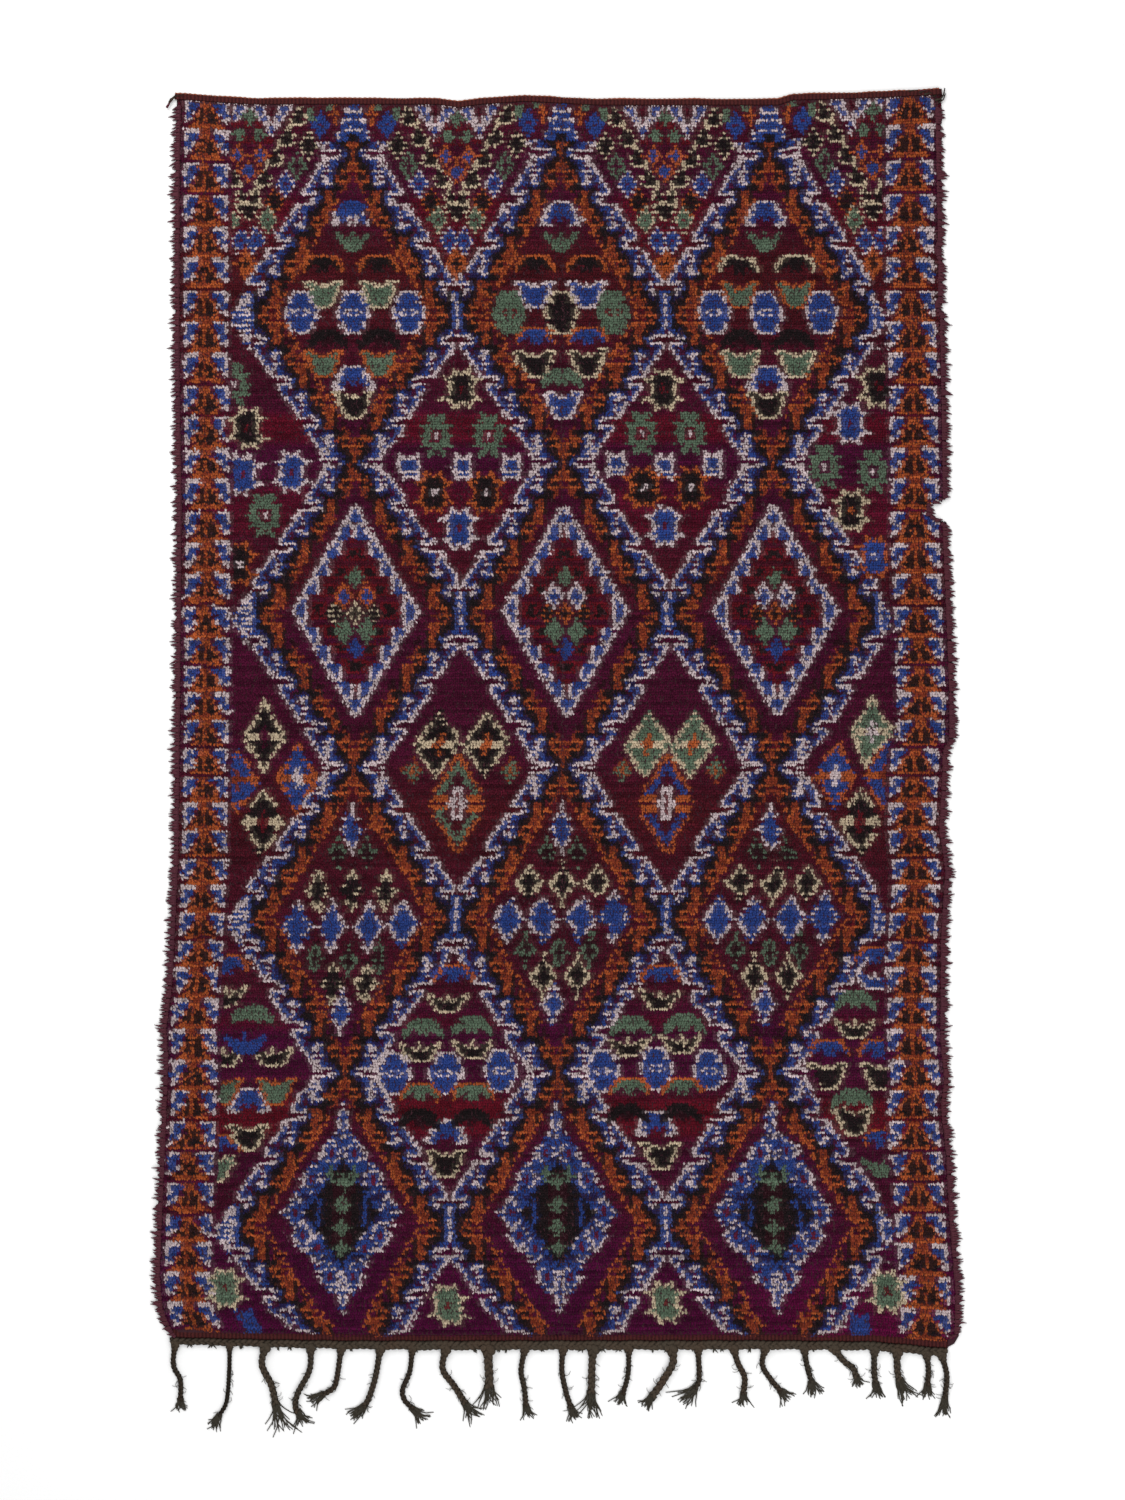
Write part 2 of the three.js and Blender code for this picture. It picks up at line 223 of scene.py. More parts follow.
# Each edge as places along it and how far out it lies, in millimetres.
LEFT_TABLE = [
    (1500, -922), (1300, -926), (820, -926), (533, -921), (50, -925), (-310, -929), (-620, -943),
    (-735, -958), (-815, -953), (-1150, -967), (-1330, -974), (-1410, -967), (-1455, -948), (-1488, -928),
]
RIGHT_TABLE = [
    (1500, 924), (1160, 930), (1134, 921), (1108, 931), (1020, 931), (1000, 922), (975, 935), (700, 940),
    (541, 942), (521, 903), (497, 901), (474, 941), (320, 948), (50, 958), (-46, 957), (-66, 943),
    (-260, 934), (-355, 948), (-525, 937), (-765, 936), (-860, 946), (-920, 937), (-1030, 949),
    (-1195, 958), (-1365, 972), (-1470, 970), (-1488, 938),
]
HEAD_TABLE = [
    (-935, 1511), (-898, 1511), (-818, 1505), (-740, 1500), (-290, 1500), (-238, 1492), (-185, 1500),
    (-80, 1507), (100, 1498), (530, 1498), (565, 1510), (725, 1514), (935, 1524),
]
FOOT_TABLE = [(-935, -1481), (-715, -1486), (-500, -1489), (500, -1488), (760, -1491), (935, -1507)]


def edge(table):
    rows = np.array(sorted(table)) * MM
    return lambda place: np.interp(place, rows[:, 0], rows[:, 1])


left_edge, right_edge = edge(LEFT_TABLE), edge(RIGHT_TABLE)
head_edge, foot_edge = edge(HEAD_TABLE), edge(FOOT_TABLE)


def smooth(share):
    share = np.clip(share, 0, 1)
    return share * share * (3 - 2 * share)


def on_rug(x, y):
    """Where a place on the straight-edged rug lies on the real one."""
    side_move = np.where(x < 0, left_edge(y) + SIDE, right_edge(y) - SIDE)
    end_move = np.where(y > 0, head_edge(x) - HEAD, foot_edge(x) - FOOT)
    from_side = SIDE - np.abs(x)
    from_end = np.where(y > 0, HEAD - y, y - FOOT)
    real_x = x + side_move * (1 - smooth(from_side / SIDE_PULL))
    return real_x, y + end_move * (1 - smooth(from_end / END_PULL))


def pile_height(x, y):
    """The height of the pile's tips at a place on the real rug."""
    from_side = np.minimum(x - left_edge(y), right_edge(y) - x)
    from_end = np.minimum(head_edge(x) - HEAD_BAND - y, y - foot_edge(x) - FOOT_BAND)
    turn = 2 * math.pi
    waves = np.sin(turn * x / WAVE_ACROSS + y / WAVE_ALONG) * np.cos(turn * y / WAVE_ALONG)
    parting = np.clip(1 - np.abs(x - CREASE_X) / CREASE_HALF, 0, 1)
    field = PILE + WAVE_HIGH * waves - CREASE_DEPTH * parting
    across = SELVEDGE + (field - SELVEDGE) * smooth(from_side / SIDE_SLOPE)
    return FLAT_WEAVE + (across - FLAT_WEAVE) * smooth(from_end / PILE_SLOPE)


print("pile in the field and in the fold, mm:",
      np.round(pile_height(np.array([0.5, CREASE_X]), np.zeros(2)) * 1000, 1))

# %% [markdown]
# ## The chart
# The weaver works from memory, but a chart shows the same thing: a grid with one square for each knot,
# numbered by its colour. This rug has about 208 knots across and 480 rows. The squares are filled in
# the order in which one would draw the pattern: the ground, the lattice of diamonds, the borders, and
# then the small figures, which are charted further down.

# %% Colours of the wool
COLUMNS, ROWS = 208, 480
WOOL = {
    "wine": (80, 20, 40),
    "white": (232, 212, 214),
    "blue": (52, 77, 152),
    "black": (36, 28, 30),
    "orange": (196, 98, 52),
    "rust": (150, 64, 42),
    "green": (106, 126, 105),
    "cream": (226, 205, 174),
    "red": (112, 24, 36),
    "deep": (54, 21, 30),
    "dusk": (48, 40, 86),
}
NUMBER = {name: i for i, name in enumerate(WOOL)}
chart = np.full((ROWS, COLUMNS), NUMBER["wine"])
print("colours of wool:", ", ".join(WOOL))

# %% [markdown]
# ## The lattice
# Two sets of diamonds share one lattice. The bands between them are built of equal steps, so a band
# only has to be described once: u counts knots out from the middle of a small diamond, v rows down
# from its middle, and the rest is mirrored. Across a band the colours follow each other as a stair of
# white, blue, black and orange, with a barred block at each step that pokes into the next colour.

# %% Where the lattice repeats
MIDDLE_COLUMN, HALF_REPEAT = 104, 28
# The rows at which the small diamonds are widest and narrowest, in turn, from the head.
TURNS = np.array([-42, 17.8, 80.3, 138.4, 197.3, 256.6, 315.4, 375.1, 435.2, 494.0])
QUARTER = 59.0
STEP_ROWS, STEP_KNOTS = 16.5, 6.8

row_of, column_of = np.mgrid[0:ROWS, 0:COLUMNS]
beats = np.interp(row_of, TURNS, np.arange(len(TURNS)) - 1)
from_middle = (beats + 1) % 2 - 1
v = QUARTER * np.abs(from_middle)
offset = (column_of - MIDDLE_COLUMN + HALF_REPEAT) % (2 * HALF_REPEAT)
u = np.minimum(offset, 2 * HALF_REPEAT - offset)
above_top = row_of < TURNS[1]
print("knots from a small diamond's middle to the next:", 2 * HALF_REPEAT)

# %% The bands of the lattice
# How many knots from the middle the band begins: at a small diamond's widest row, and row by row.
WIDEST, SLOPE_AT_HEAD = 20.7, 0.25
stair = WIDEST - v * STEP_KNOTS / STEP_ROWS
stair = np.where(above_top, WIDEST + SLOPE_AT_HEAD * (TURNS[1] - row_of), stair)
depth = u - stair


def paint(where, colour):
    chart[where] = NUMBER[colour]


def near(values, middle, half):
    return np.abs(values - middle) <= half


BAND = 10.9
paint((depth >= 2) & (depth <= BAND) & ~above_top, "deep")

# One step of the band. Its rows run from 2 above the middle of the double white bar to 14 below it, and
# its columns from 5 inside the bar's inner end. A point leaves the knot as it is.
STEP = """
.......wbbwpknnkg
.......wwwwpknnkg
.....gggggpbkonkg
.....ggggwwbknokg
.....wwwwwpkknokg
.....wgbbppkknnkg
....wwgbbpkkonnkg
....wbwbpkkknnnkg
....wbgbpkkknnogg
...wbbwwpkooonogg
...wbpgbpknkrgggg
..wbpgwbknkkngggg
..wbpwwbkooonnggg
.wbgpbwwkknnggggg
.wbgppbpkkkngg.gg
wbpgkkpkkkkng.ggg
wbpbgkkkkkngg.ggg"""
LETTERS = {"g": "wine", "w": "white", "b": "blue", "o": "orange", "n": "rust", "k": "black", "r": "red",
           "p": "dusk"}
INNER_ENDS = (20, 13, 6, -1)
ROWS_ABOVE_BAR, KNOTS_INSIDE_BAR = 2.4, 5

step_chart = np.array([list(line) for line in STEP.strip().splitlines()])
# The steps run on down the rug without a mirror, so they lie a little lower in both halves.
v_of_steps = v - 1.5 * np.sign(from_middle)
last_line, last_place = np.array(step_chart.shape) - 1
for step, inner_end in enumerate(INNER_ENDS):
    line = np.rint(v_of_steps - STEP_ROWS * step + ROWS_ABOVE_BAR).astype(int)
    place = u - inner_end + KNOTS_INSIDE_BAR
    shown = (line >= 0) & (line <= last_line) & (place >= 0) & (place <= last_place)
    shown &= ~above_top | (row_of > 14)
    letter = np.where(shown, step_chart[np.clip(line, 0, last_line), np.clip(place, 0, last_place)], ".")
    for key, colour in LETTERS.items():
        reaches = BAND + 0.7 if key in "onr" else BAND
        paint((letter == key) & (depth <= reaches), colour)
in_second_row = (row_of > TURNS[3]) & (row_of < TURNS[5])
paint((v_of_steps < 9) & near(u, 20.5, 0.6) & (row_of % 2 == 0) & ~above_top, "white")
paint(near(depth, BAND, 0.5) & (u < 25) & (row_of % 4 > 0) & ~above_top & ~in_second_row, "orange")

# A blue stem with a white heart and black edges joins two small diamonds.
stem = v > 51.5
paint(stem & (u < 3), "black")
paint(stem & (u < 2), "blue")
paint(stem & (u == 0) & (row_of % 5 != 3), "white")

# Beside the borders a stem is only half a one, and ends in a point of blue with a white edge.
beyond = (column_of < 20) | (column_of > 188)
paint(beyond & (depth > -1.5), "wine")
for tip, side in ((15.2, 1), (191.4, -1)):
    inward = (column_of - tip) * side
    for turn in TURNS[2::2]:
        off = np.abs(row_of - turn - 3)
        point = beyond & (inward >= 0) & (inward < 6) & (off <= inward * 2.3 + 1)
        paint(point, "blue")
        paint(point & (off > inward * 2.3 - 2) & (row_of % 3 > 0), "white")
        paint(point & near(inward, 3.3, 0.6) & (row_of % 2 == 0), "white")
# The head cuts off the tops of the large diamonds.
apex = above_top & (row_of < 15) & (u >= 22.6 + 0.24 * (16 - row_of))
paint(apex, "blue")
paint(apex & (u > 26) & (row_of > 11), "black")
paint(apex & (u < 23.3 + 0.24 * (16 - row_of)) & (row_of % 4 > 0), "white")
paint(apex & (u > 25) & np.isin(row_of, (3, 6, 10)) & (u - row_of % 2 < 28), "white")
print("knots in the lattice:", int(np.sum(chart != NUMBER["wine"])))

# %% [markdown]
# ## The figure charts
# The small figures repeat all over the field in other colours. Each is drawn once, most of them as a
# left half or an upper left quarter, and the rest is the mirror image. The letter o stands for the
# outline, f for the filling, c for the heart and g for the ground, and a point leaves the knot as it is.

# %% Figures
# Left halves.
HALVES = {
    "ring_star": """
..oo.
..ooo
..ooo
...oo
ooooo
.oooo
.oog.
.oogc
ooogc
.oogc
.oog.
.oooo
ooooo
...oo
..oo.
..oo.
..o..""",
    "crown": """
ooo...
offo.o
.offoo
.offff
.offff
.offff
..offf
..offf
..offf
...off
...ooo""",
    "flat_crown": """
o....o
oo...o
offo.o
.offof
.offff
..offf
..offf
...ooo""",
    "arch": """
...fff
..ffff
..ffff
..ffff
.offff
.offff
.offof
ooffo.
oof.o.
oo..o.""",
    "capped_arch": """
..oooo
.oofff
.offff
ooffff
off.ff
of..ff
o...f.""",
    "high_arch": """
...ooo
..offf
..offf
.oofff
.offff
.offff
ooff.f
off..f
oof...
ooo...""",
    "small_crown": """
o...o
oo..o
oo.oo
.oooo
.oooo
..ooo
..ooo
...oo""",
    "yoke": """
o..
oo.
ooo
off
off
off
off
ooo
off
ooo
o..""",
    "low_tooth": """
ooo
.of
.of
..f
..o
..o""",
    "low_arch": """
...fff
..ffff
.fffff
.ffffo
ffffoo
fff.oo
ff..o.
f.....""",
}
# Upper left quarters.
QUARTERS = {
    "star": """
...o..
...oo.
...ofo
..offf
ooofff
.offff
..offf
..offc
..offc""",
    "hexagon": """
..ooo
..off
.offf
.offf
.offf
.ffff
offff
offcf
ofcff""",
    "bead": """
..o
..f
.of
.ff
off
ffc""",
    "ring": """
..o
..o
.oc
.oc
ooc
occ""",
}
# Whole figures.
WHOLE = {
    "tooth": """
oooo.
offo.
offo.
.ofo.
.ofo.
..ofo
..ofo
...oo""",
    "stair": """
...o.
..of.
..ff.
.offo
.fffo
offf.
offfo
oooo.""",
    "knot_top": """
.o...o.
of..ofo
ofo.ofo
.ff.ff.
off.ffo
.oooffo
ooooooo
offfffo
.fffff.
.offfo.
..fff..
..off..
...o...""",
}


def unfold(text, across=True, down=False):
    """A figure's chart as a grid of letters, mirrored at its last column and its last row."""
    half = np.array([list(line) for line in text.strip().splitlines()])
    if across:
        half = np.hstack([half, half[:, -2::-1]])
    if down:
        half = np.vstack([half, half[-2::-1]])
    return half


FIGURES = {name: unfold(text) for name, text in HALVES.items()}
FIGURES.update({name: unfold(text, down=True) for name, text in QUARTERS.items()})
FIGURES.update({name: unfold(text, across=False) for name, text in WHOLE.items()})
for name in ("tooth", "stair"):
    FIGURES[name + "_turned"] = FIGURES[name][:, ::-1]


def stamp(figure, column, row, outline, filling=None, heart=None):
    """Knots a figure into the chart with its middle at the place given."""
    letters = FIGURES[figure]
    tall, wide = letters.shape
    filling = filling or outline
    heart = heart or filling
    for letter, colour in zip("ofcg", (outline, filling, heart, "wine")):
        rows, columns = np.nonzero(letters == letter)
        rows = rows + row - tall // 2
        columns = columns + column - wide // 2
        kept = (rows >= 0) & (rows < ROWS) & (columns >= 0) & (columns < COLUMNS)
        chart[rows[kept], columns[kept]] = NUMBER[colour]


def patch(column, row, half_wide, half_tall):
    """The knots of a small level rectangle round a knot."""
    return near(column_of, column, half_wide) & near(row_of, row, half_tall)


def spread(column, row, half_wide, half_tall):
    """How far each knot is from the middle of a diamond, which ends at 1."""
    return np.abs(column_of - column) / half_wide + np.abs(row_of - row) / half_tall


def lozenge(column, row, half_wide, half_tall, outline, filling=None, heart=None, rim=1.3):
    """Knots a diamond with straight sides, as wide and tall as asked."""
    reach = spread(column, row, half_wide, half_tall)
    rim_share = rim / min(half_wide, half_tall)
    filling = filling or outline
    paint(reach <= 1, outline)
    paint(reach <= 1 - rim_share, filling)
    # The rim is feathered: here and there it sticks out by a knot or lets the filling through.
    paint((reach <= 1 + 0.4 / half_wide) & (reach > 0.85) & (row_of % 2 == 0), outline)
    paint((reach <= 1) & (reach > 1 - rim_share) & ((row_of + 2 * column_of) % 4 == 0), filling)
    if heart:
        paint(reach <= 0.3, heart)


print("figures:", {name: f"{grid.shape[1]} x {grid.shape[0]}" for name, grid in FIGURES.items()})

# %% [markdown]
# ## The figures in the field
# The figures stand in rows inside each diamond. The table gives a figure, its colours (outline, filling
# and heart, where they differ), and the knots at its middle, counted from the left and from the head.

# %% Table of figures
PLACES = [
    ("arch", "white blue", [(48, 43)]),
    ("high_arch", "white blue", [(104, 43), (159, 43), (48, 107), (159, 107), (75, 400), (130, 397),
                                 (23, 388)]),
    ("small_crown", "green", [(48, 54), (104, 54), (159, 54)]),
    ("capped_arch", "orange black", [(40, 62), (55, 62), (97, 62), (111, 62)]),
    ("capped_arch", "cream black", [(152, 62), (167, 62)]),
    ("crown", "cream green", [(40, 74), (55, 74), (152, 101), (167, 101), (15, 414)]),
    ("crown", "white blue", [(97, 74), (111, 74), (104, 117)]),
    ("crown", "orange green", [(152, 74), (167, 74), (40, 101), (55, 101), (16, 384), (30, 384)]),
    ("hexagon", "white blue white", [(34, 81), (48, 81), (63, 81), (145, 81), (159, 81), (174, 81),
                                     (61, 377), (75, 377), (89, 376), (116, 376), (130, 375), (144, 376)]),
    ("hexagon", "green green red", [(90, 81), (118, 81)]),
    ("hexagon", "cream black", [(104, 81)]),
    ("low_arch", "deep black", [(41, 92), (55, 92), (152, 92), (166, 92)]),
    ("capped_arch", "orange blue", [(97, 90), (111, 90), (176, 367), (189, 367), (190, 402), (17, 335),
                                    (76, 338), (131, 338), (188, 331), (15, 404)]),
    ("crown", "cream black", [(97, 101), (111, 101), (48, 117), (159, 117), (75, 412), (131, 409),
                              (23, 402), (175, 378), (189, 378), (182, 396)]),
    ("flat_crown", "cream black", [(75, 350), (131, 349), (68, 369), (82, 368), (123, 367), (137, 366),
                                   (16, 348), (16, 371), (29, 371), (183, 360)]),
    ("flat_crown", "white blue", [(188, 341)]),
    ("flat_crown", "blue", [(22, 366)]),
    ("low_arch", "green", [(104, 107), (69, 360), (82, 359), (124, 359), (138, 358), (24, 355), (183, 349),
                           (182, 387)]),
    ("flat_crown", "green", [(189, 414)]),
    ("capped_arch", "orange green", [(68, 384), (82, 384), (123, 382), (137, 382)]),
    ("low_arch", "deep black", [(68, 395), (82, 395), (123, 393), (137, 393)]),
    ("star", "cream black red", [(77, 111), (131, 111), (20, 126), (188, 110)]),
    ("ring_star", "green green white", [(70, 129), (84, 129), (125, 128), (138, 128), (16, 109), (24, 160),
                                        (174, 141), (187, 143)]),
    ("yoke", "white blue", [(63, 141), (77, 141), (90, 141), (118, 140), (131, 141), (144, 140)]),
    ("star", "orange black white", [(69, 151), (83, 151), (125, 149), (138, 149), (17, 179)]),
    ("star", "white blue red", [(76, 165), (131, 164), (18, 144), (31, 143), (181, 124)]),
    ("star", "cream black orange", [(181, 158)]),
    ("star", "orange blue white", [(187, 176)]),
    ("star", "cream green red", [(75, 467), (131, 466)]),
]
for figure, tints, places in PLACES:
    for column, row in places:
        stamp(figure, column, row, *tints.split())
print("figures placed:", sum(len(row[2]) for row in PLACES))

# %% Lozenges in chains and stacks
SMALL_DIAMONDS, LARGE_DIAMONDS = (20, 76, 132, 188), (48, 104, 160)
for middle in SMALL_DIAMONDS:
    # A stepped zigzag and a chain of lozenges run down to the point of each half diamond at the head,
    # with a row of teeth, three small hearts and a pronged figure between them.
    paint(patch(middle, 8, 7, 1) & (column_of % 3 > 0), "red")
    paint(patch(middle, 14, 6, 1) & (column_of % 4 > 0), "red")
    for side in (-1, 1):
        figure = "stair" if side > 0 else "stair_turned"
        for out, row in [(13, 5), (10, 13), (7, 21), (4, 29)]:
            stamp(figure, middle + side * out, row, "cream", "black")
        inner_tooth, outer_tooth = ("tooth", "tooth_turned")[::side]
        stamp(inner_tooth, middle + side * 3, 4, "white", "blue")
        stamp(outer_tooth, middle + side * 9, 4, "white", "blue")
        if 15 < middle + side * 6 < 192:
            stamp("low_tooth", middle + side * 6, 11, "white", "blue")
        chain = [("bead", "blue", "blue", "wine", 19, 8), ("bead", "cream", "black", "black", 16, 16),
                 ("ring", "green", "green", "wine", 13, 24), ("bead", "white", "blue", "wine", 10, 31),
                 ("bead", "orange", "black", "deep", 7, 38), ("bead", "cream", "green", "wine", 5, 45),
                 ("bead", "white", "blue", "wine", 2, 53)]
        for bead, rim, filling, heart, out, row in chain:
            stamp(bead, middle + side * out, row, rim, filling, heart)
        for out, row, wide, tall, tint in [(16.5, 4, 1, 3, "green"), (21.5, 1, 1.2, 2, "green"),
                                           (23, 4, 1.2, 3, "orange"), (2.6, 12, 1.2, 2.6, "green")]:
            lozenge(middle + side * out, row, wide, tall, tint)
        lozenge(middle + side * 3, 20, 2.6, 3.6, "orange", "blue", rim=1)
    lozenge(middle, 5, 2, 3, "green")
    lozenge(middle, 26, 2.6, 4.4, "orange", "blue", rim=1)
    stamp("knot_top", middle, 39, "cream", "black")
    lozenge(middle, 62, 2.6, 5.5, "orange", "black")

for left, right, low, filling, cool in [(70, 83, 76, "black", "green"), (126, 138, 132, "green", "blue")]:
    for column in (left, right):
        lozenge(column, 249, 6, 13.5, "cream", filling, "orange", rim=0.8)
        paint(patch(column, 249, 4, 1) & ~near(column_of, column, 1), "cream")
    for column in (left - 6, right + 7):
        lozenge(column, 259, 2.6, 5, "rust", "green", "orange", rim=0.8)
    lozenge(low, 272, 8.2, 20, "orange", "wine", "white", rim=1.0)
    reach = spread(low, 272, 8.5, 20)
    paint((reach < 0.84) & (reach > 0.62), cool)
    for half_tall, colour in ((3, "orange"), (0, "wine")):
        paint(near(row_of, 272, half_tall) & (reach < 0.9) & ~near(column_of, low, 2), colour)
    paint(patch(low, 272, 1, 6), "white")
    paint(patch(low, 272, 0, 4), "red")

for column, row, rim, filling, heart in [
    (33, 262, "orange", "blue", "white"), (17, 263, "orange", "blue", "rust"),
    (177, 261, "orange", "blue", "white"), (190, 261, "orange", "blue", "rust"),
    (24, 246, "cream", "black", "wine"), (24, 279, "cream", "black", "red"),
    (185, 244, "cream", "green", "white"), (184, 279, "cream", "black", "red"),
]:
    lozenge(column, row, 5.4, 13.5, rim, filling, heart, rim=0.8)
    paint(patch(column, row, 4, 1) & ~near(column_of, column, 1), rim)

STACK = [
    (0, 282, 2.9, 9, "white", "blue"), (-4, 291, 2.6, 6, "green", "deep"), (4, 291, 2.6, 6, "green", "deep"),
    (-9, 303, 3.1, 7.5, "cream", "black"), (0, 303, 3.1, 8, "cream", "black"),
    (9, 303, 3.1, 7.5, "cream", "black"),
    (-14, 317, 4, 9.5, "white", "blue"), (-5, 317, 4, 9.5, "white", "blue"),
    (5, 317, 4, 9.5, "white", "blue"), (14, 316, 4, 9.5, "white", "blue"),
    (-9, 329, 2, 6, "green", "deep"), (0, 330, 2, 6, "green", "deep"), (8, 329, 2, 6, "green", "deep"),
    (-4, 339, 3, 8, "cream", "black"), (5, 339, 3, 8, "cream", "black"), (-1, 350, 2.6, 8, "white", "blue"),
]
for middle in LARGE_DIAMONDS:
    lower = 3 if middle == LARGE_DIAMONDS[0] else 0
    for out, row, wide, tall, rim, filling in STACK:
        lozenge(middle + out, row + (lower if row > 300 else 0), wide, tall, rim, filling, rim=0.8)
print("stacked lozenges:", 3 * len(STACK))

# %% The large diamonds of the second row
SECOND_ROW, HALF_WIDE, HALF_TALL, BLOCK_ROWS = 197, 16.8, 42, 7
for middle in LARGE_DIAMONDS:
    across, down = np.abs(column_of - middle), np.abs(row_of - SECOND_ROW)
    reach = spread(middle, SECOND_ROW, HALF_WIDE, HALF_TALL)
    # The rim is a chain of blue blocks: white runs straight along its outside, in steps along its
    # inside, and across it from block to block.
    level = (40 - down) / BLOCK_ROWS
    outside = HALF_WIDE * (1 - down / HALF_TALL)
    inside = HALF_WIDE * (1 - 3.5 / HALF_TALL) - 2.8 * np.ceil((down + 1) / BLOCK_ROWS)
    in_rim = (down < HALF_TALL) & (across <= outside + 0.3) & (across >= inside - 0.5)
    paint(in_rim, "white")
    in_block = (across <= outside - 1.0) & (across >= inside + 0.5) & ~near(down % BLOCK_ROWS, 6, 0.6)
    paint(in_rim & in_block, "blue")
    ring = (reach > 0.44) & (reach < 0.74) & (down < 32)
    paint(ring & (level % 1 > 0.2), "red")
    paint(ring & (np.abs(reach - 0.58) < 0.06) & (np.abs(level % 1 - 0.6) < 0.2), "black")
    paint(reach < 0.44, "wine")
    dark = "cream" if middle == LARGE_DIAMONDS[0] else "orange"
    pale = "orange" if middle == LARGE_DIAMONDS[0] else "white"
    cluster = [
        (0, -13, "green"), (-3, -6, pale, "blue"), (3, -6, pale, "blue"), (-5, 1, dark, "black"),
        (0, 1, dark, "black"), (5, 1, dark, "black"), (-3, 8, "green"), (3, 8, "green"), (0, 15, "blue"),
    ]
    for out, row, *tints in cluster:
        lozenge(middle + out, SECOND_ROW + row, 2.4, 4.4, *tints, rim=0.9)

# %% The serrated diamonds of the fourth row
FOURTH_ROW = 431
for middle in LARGE_DIAMONDS:
    reach = spread(middle, FOURTH_ROW, 15.5, 36)
    paint(reach <= 1, "blue")
    paint((reach <= 1) & (reach > 0.93) & (row_of % 3 != 0), "white")
    paint((reach <= 0.9) & (reach > 0.62) & (row_of % 8 < 3) & (column_of % 5 > 0), "dusk")
    for out, row in [(-3, -23), (3, -23), (-8, -13), (8, -13), (-12, 0), (12, 0), (-10, 9), (10, 9),
                     (-6, 14), (6, 14), (-3, 25), (3, 25)]:
        lozenge(middle + out, FOURTH_ROW + row, 2.8, 6.5, "white", "blue", "red", rim=0.9)
    # Much of the white is only dashes on blue.
    dashed = (reach <= 1) & (chart == NUMBER["white"]) & ((row_of + column_of) % 3 == 0)
    paint(dashed, "dusk")
    heart = spread(middle, FOURTH_ROW, 9.5, 21)
    paint(heart <= 1, "black")
    paint((heart <= 0.8) & near(column_of, middle, 2), "deep")
    for row in (-12, -3, 6, 14):
        lozenge(middle, FOURTH_ROW + row, 2, 3, "green")
    for side in (-1, 1):
        paint(patch(middle + side * 6, FOURTH_ROW, 0.5, 5), "blue")
        lozenge(middle + side * 3, FOURTH_ROW - 15, 1.4, 3, "green")
    lozenge(middle, FOURTH_ROW - 36, 1.6, 7, "white", "blue", rim=0.9)
    lozenge(middle, FOURTH_ROW + 31, 1.8, 8, "white", "blue", rim=0.9)
print("knots that aren't ground:", int(np.sum(chart != NUMBER["wine"])))

# %% [markdown]
# ## The borders
# A column of equal boxes runs down each side. A box has a blue triangle in a white outline at each
# outer corner, and an orange tent with a post between them. The boxes are a little flatter in the middle
# of the rug, where the weaver beat the wefts down harder.

# %% Border boxes
BOX = """
wwwwgnn
wbbbgoo
wbbbgon
wbbgoko
wbbgokn
bbwokko
bbwokkn
wbgokko
wwokkko
wggokkn
ggooonn
gnoonoo
ggggggg"""
wide_box = unfold(BOX)
narrow_box = np.delete(wide_box, 4, axis=1)
box_rows = len(wide_box)

# How many rows a box takes, down to the row given.
BOX_ROWS = [(200, 12.3), (330, 10.7), (ROWS, 11.9)]
LEFT_BORDER, RIGHT_BORDER = 3, 192
edges_of_boxes = [-0.4, 11.2]
while edges_of_boxes[-1] < ROWS - 8:
    row = edges_of_boxes[-1]
    edges_of_boxes.append(row + next(tall for limit, tall in BOX_ROWS if row < limit))
chart[:, :LEFT_BORDER + 13] = NUMBER["wine"]
chart[:, RIGHT_BORDER - 1:] = NUMBER["wine"]
for first_column, box in ((LEFT_BORDER, narrow_box), (RIGHT_BORDER, wide_box)):
    for top, bottom in zip(edges_of_boxes, edges_of_boxes[1:]):
        for row in range(max(round(top), 0), min(round(bottom), ROWS)):
            line = box[min(int((row - top) / (bottom - top) * box_rows), box_rows - 1)]
            for letter, colour in LETTERS.items():
                chart[row, first_column + np.nonzero(line == letter)[0]] = NUMBER[colour]
for column, row in ((18, 461), (188, 461)):
    stamp("star", column, row, "cream", "green", "red")
for column, row in ((22, 474), (181, 475)):
    stamp("yoke", column, row, "blue")
print("boxes in each border:", len(edges_of_boxes) - 1)

# %% [markdown]
# ## The wool's uneven dye
# The dark wool came from several dye lots, so the ground changes from brownish red to purple in wide
# level bands. Every tuft also takes the dye a little differently. Both are worked out from numbers
# with a fixed seed, so that the rug comes out the same each time.

# %% Colour of every knot
dice = np.random.default_rng(41)


def drift(count, spacing, strength):
    """A slow random change along the rows."""
    marks = np.arange(0, count + spacing, spacing)
    return np.interp(np.arange(count), marks, dice.normal(0, strength, len(marks)))


def rough(rows_apart, columns_apart, strength):
    """Random numbers that change over the chart from one stop to the next."""
    coarse = dice.normal(0, strength, (ROWS // rows_apart + 2, COLUMNS // columns_apart + 2))
    at_row, at_column = np.arange(ROWS) / rows_apart, np.arange(COLUMNS) / columns_apart
    down = np.array([np.interp(at_row, np.arange(len(coarse)), line) for line in coarse.T]).T
    return np.array([np.interp(at_column, np.arange(coarse.shape[1]), line) for line in down])


def blend(first, second, share):
    return first * (1 - share) + second * share


# No figure is knotted twice alike: its edges wander by a knot or so, and some knots are out of place.
wander_down = rough(12, 9, 0.34) + rough(3, 4, 0.1)
wander_across = rough(14, 10, 0.36) + rough(2, 6, 0.14)
STRAY_SHARE = 0.012
stray = dice.random(chart.shape) < STRAY_SHARE
wander_across = wander_across + stray * dice.choice([-1, 1], chart.shape)
# The small figures at the head, where the weaver began, are knotted with more care.
care = 0.45 + 0.55 * smooth((row_of - 25) / 40)
wander_down, wander_across = wander_down * care, wander_across * care
source_row = np.clip(np.rint(row_of + wander_down), 0, ROWS - 1).astype(int)
source_column = np.clip(np.rint(column_of + wander_across), 0, COLUMNS - 1).astype(int)
chart = chart[source_row, source_column]

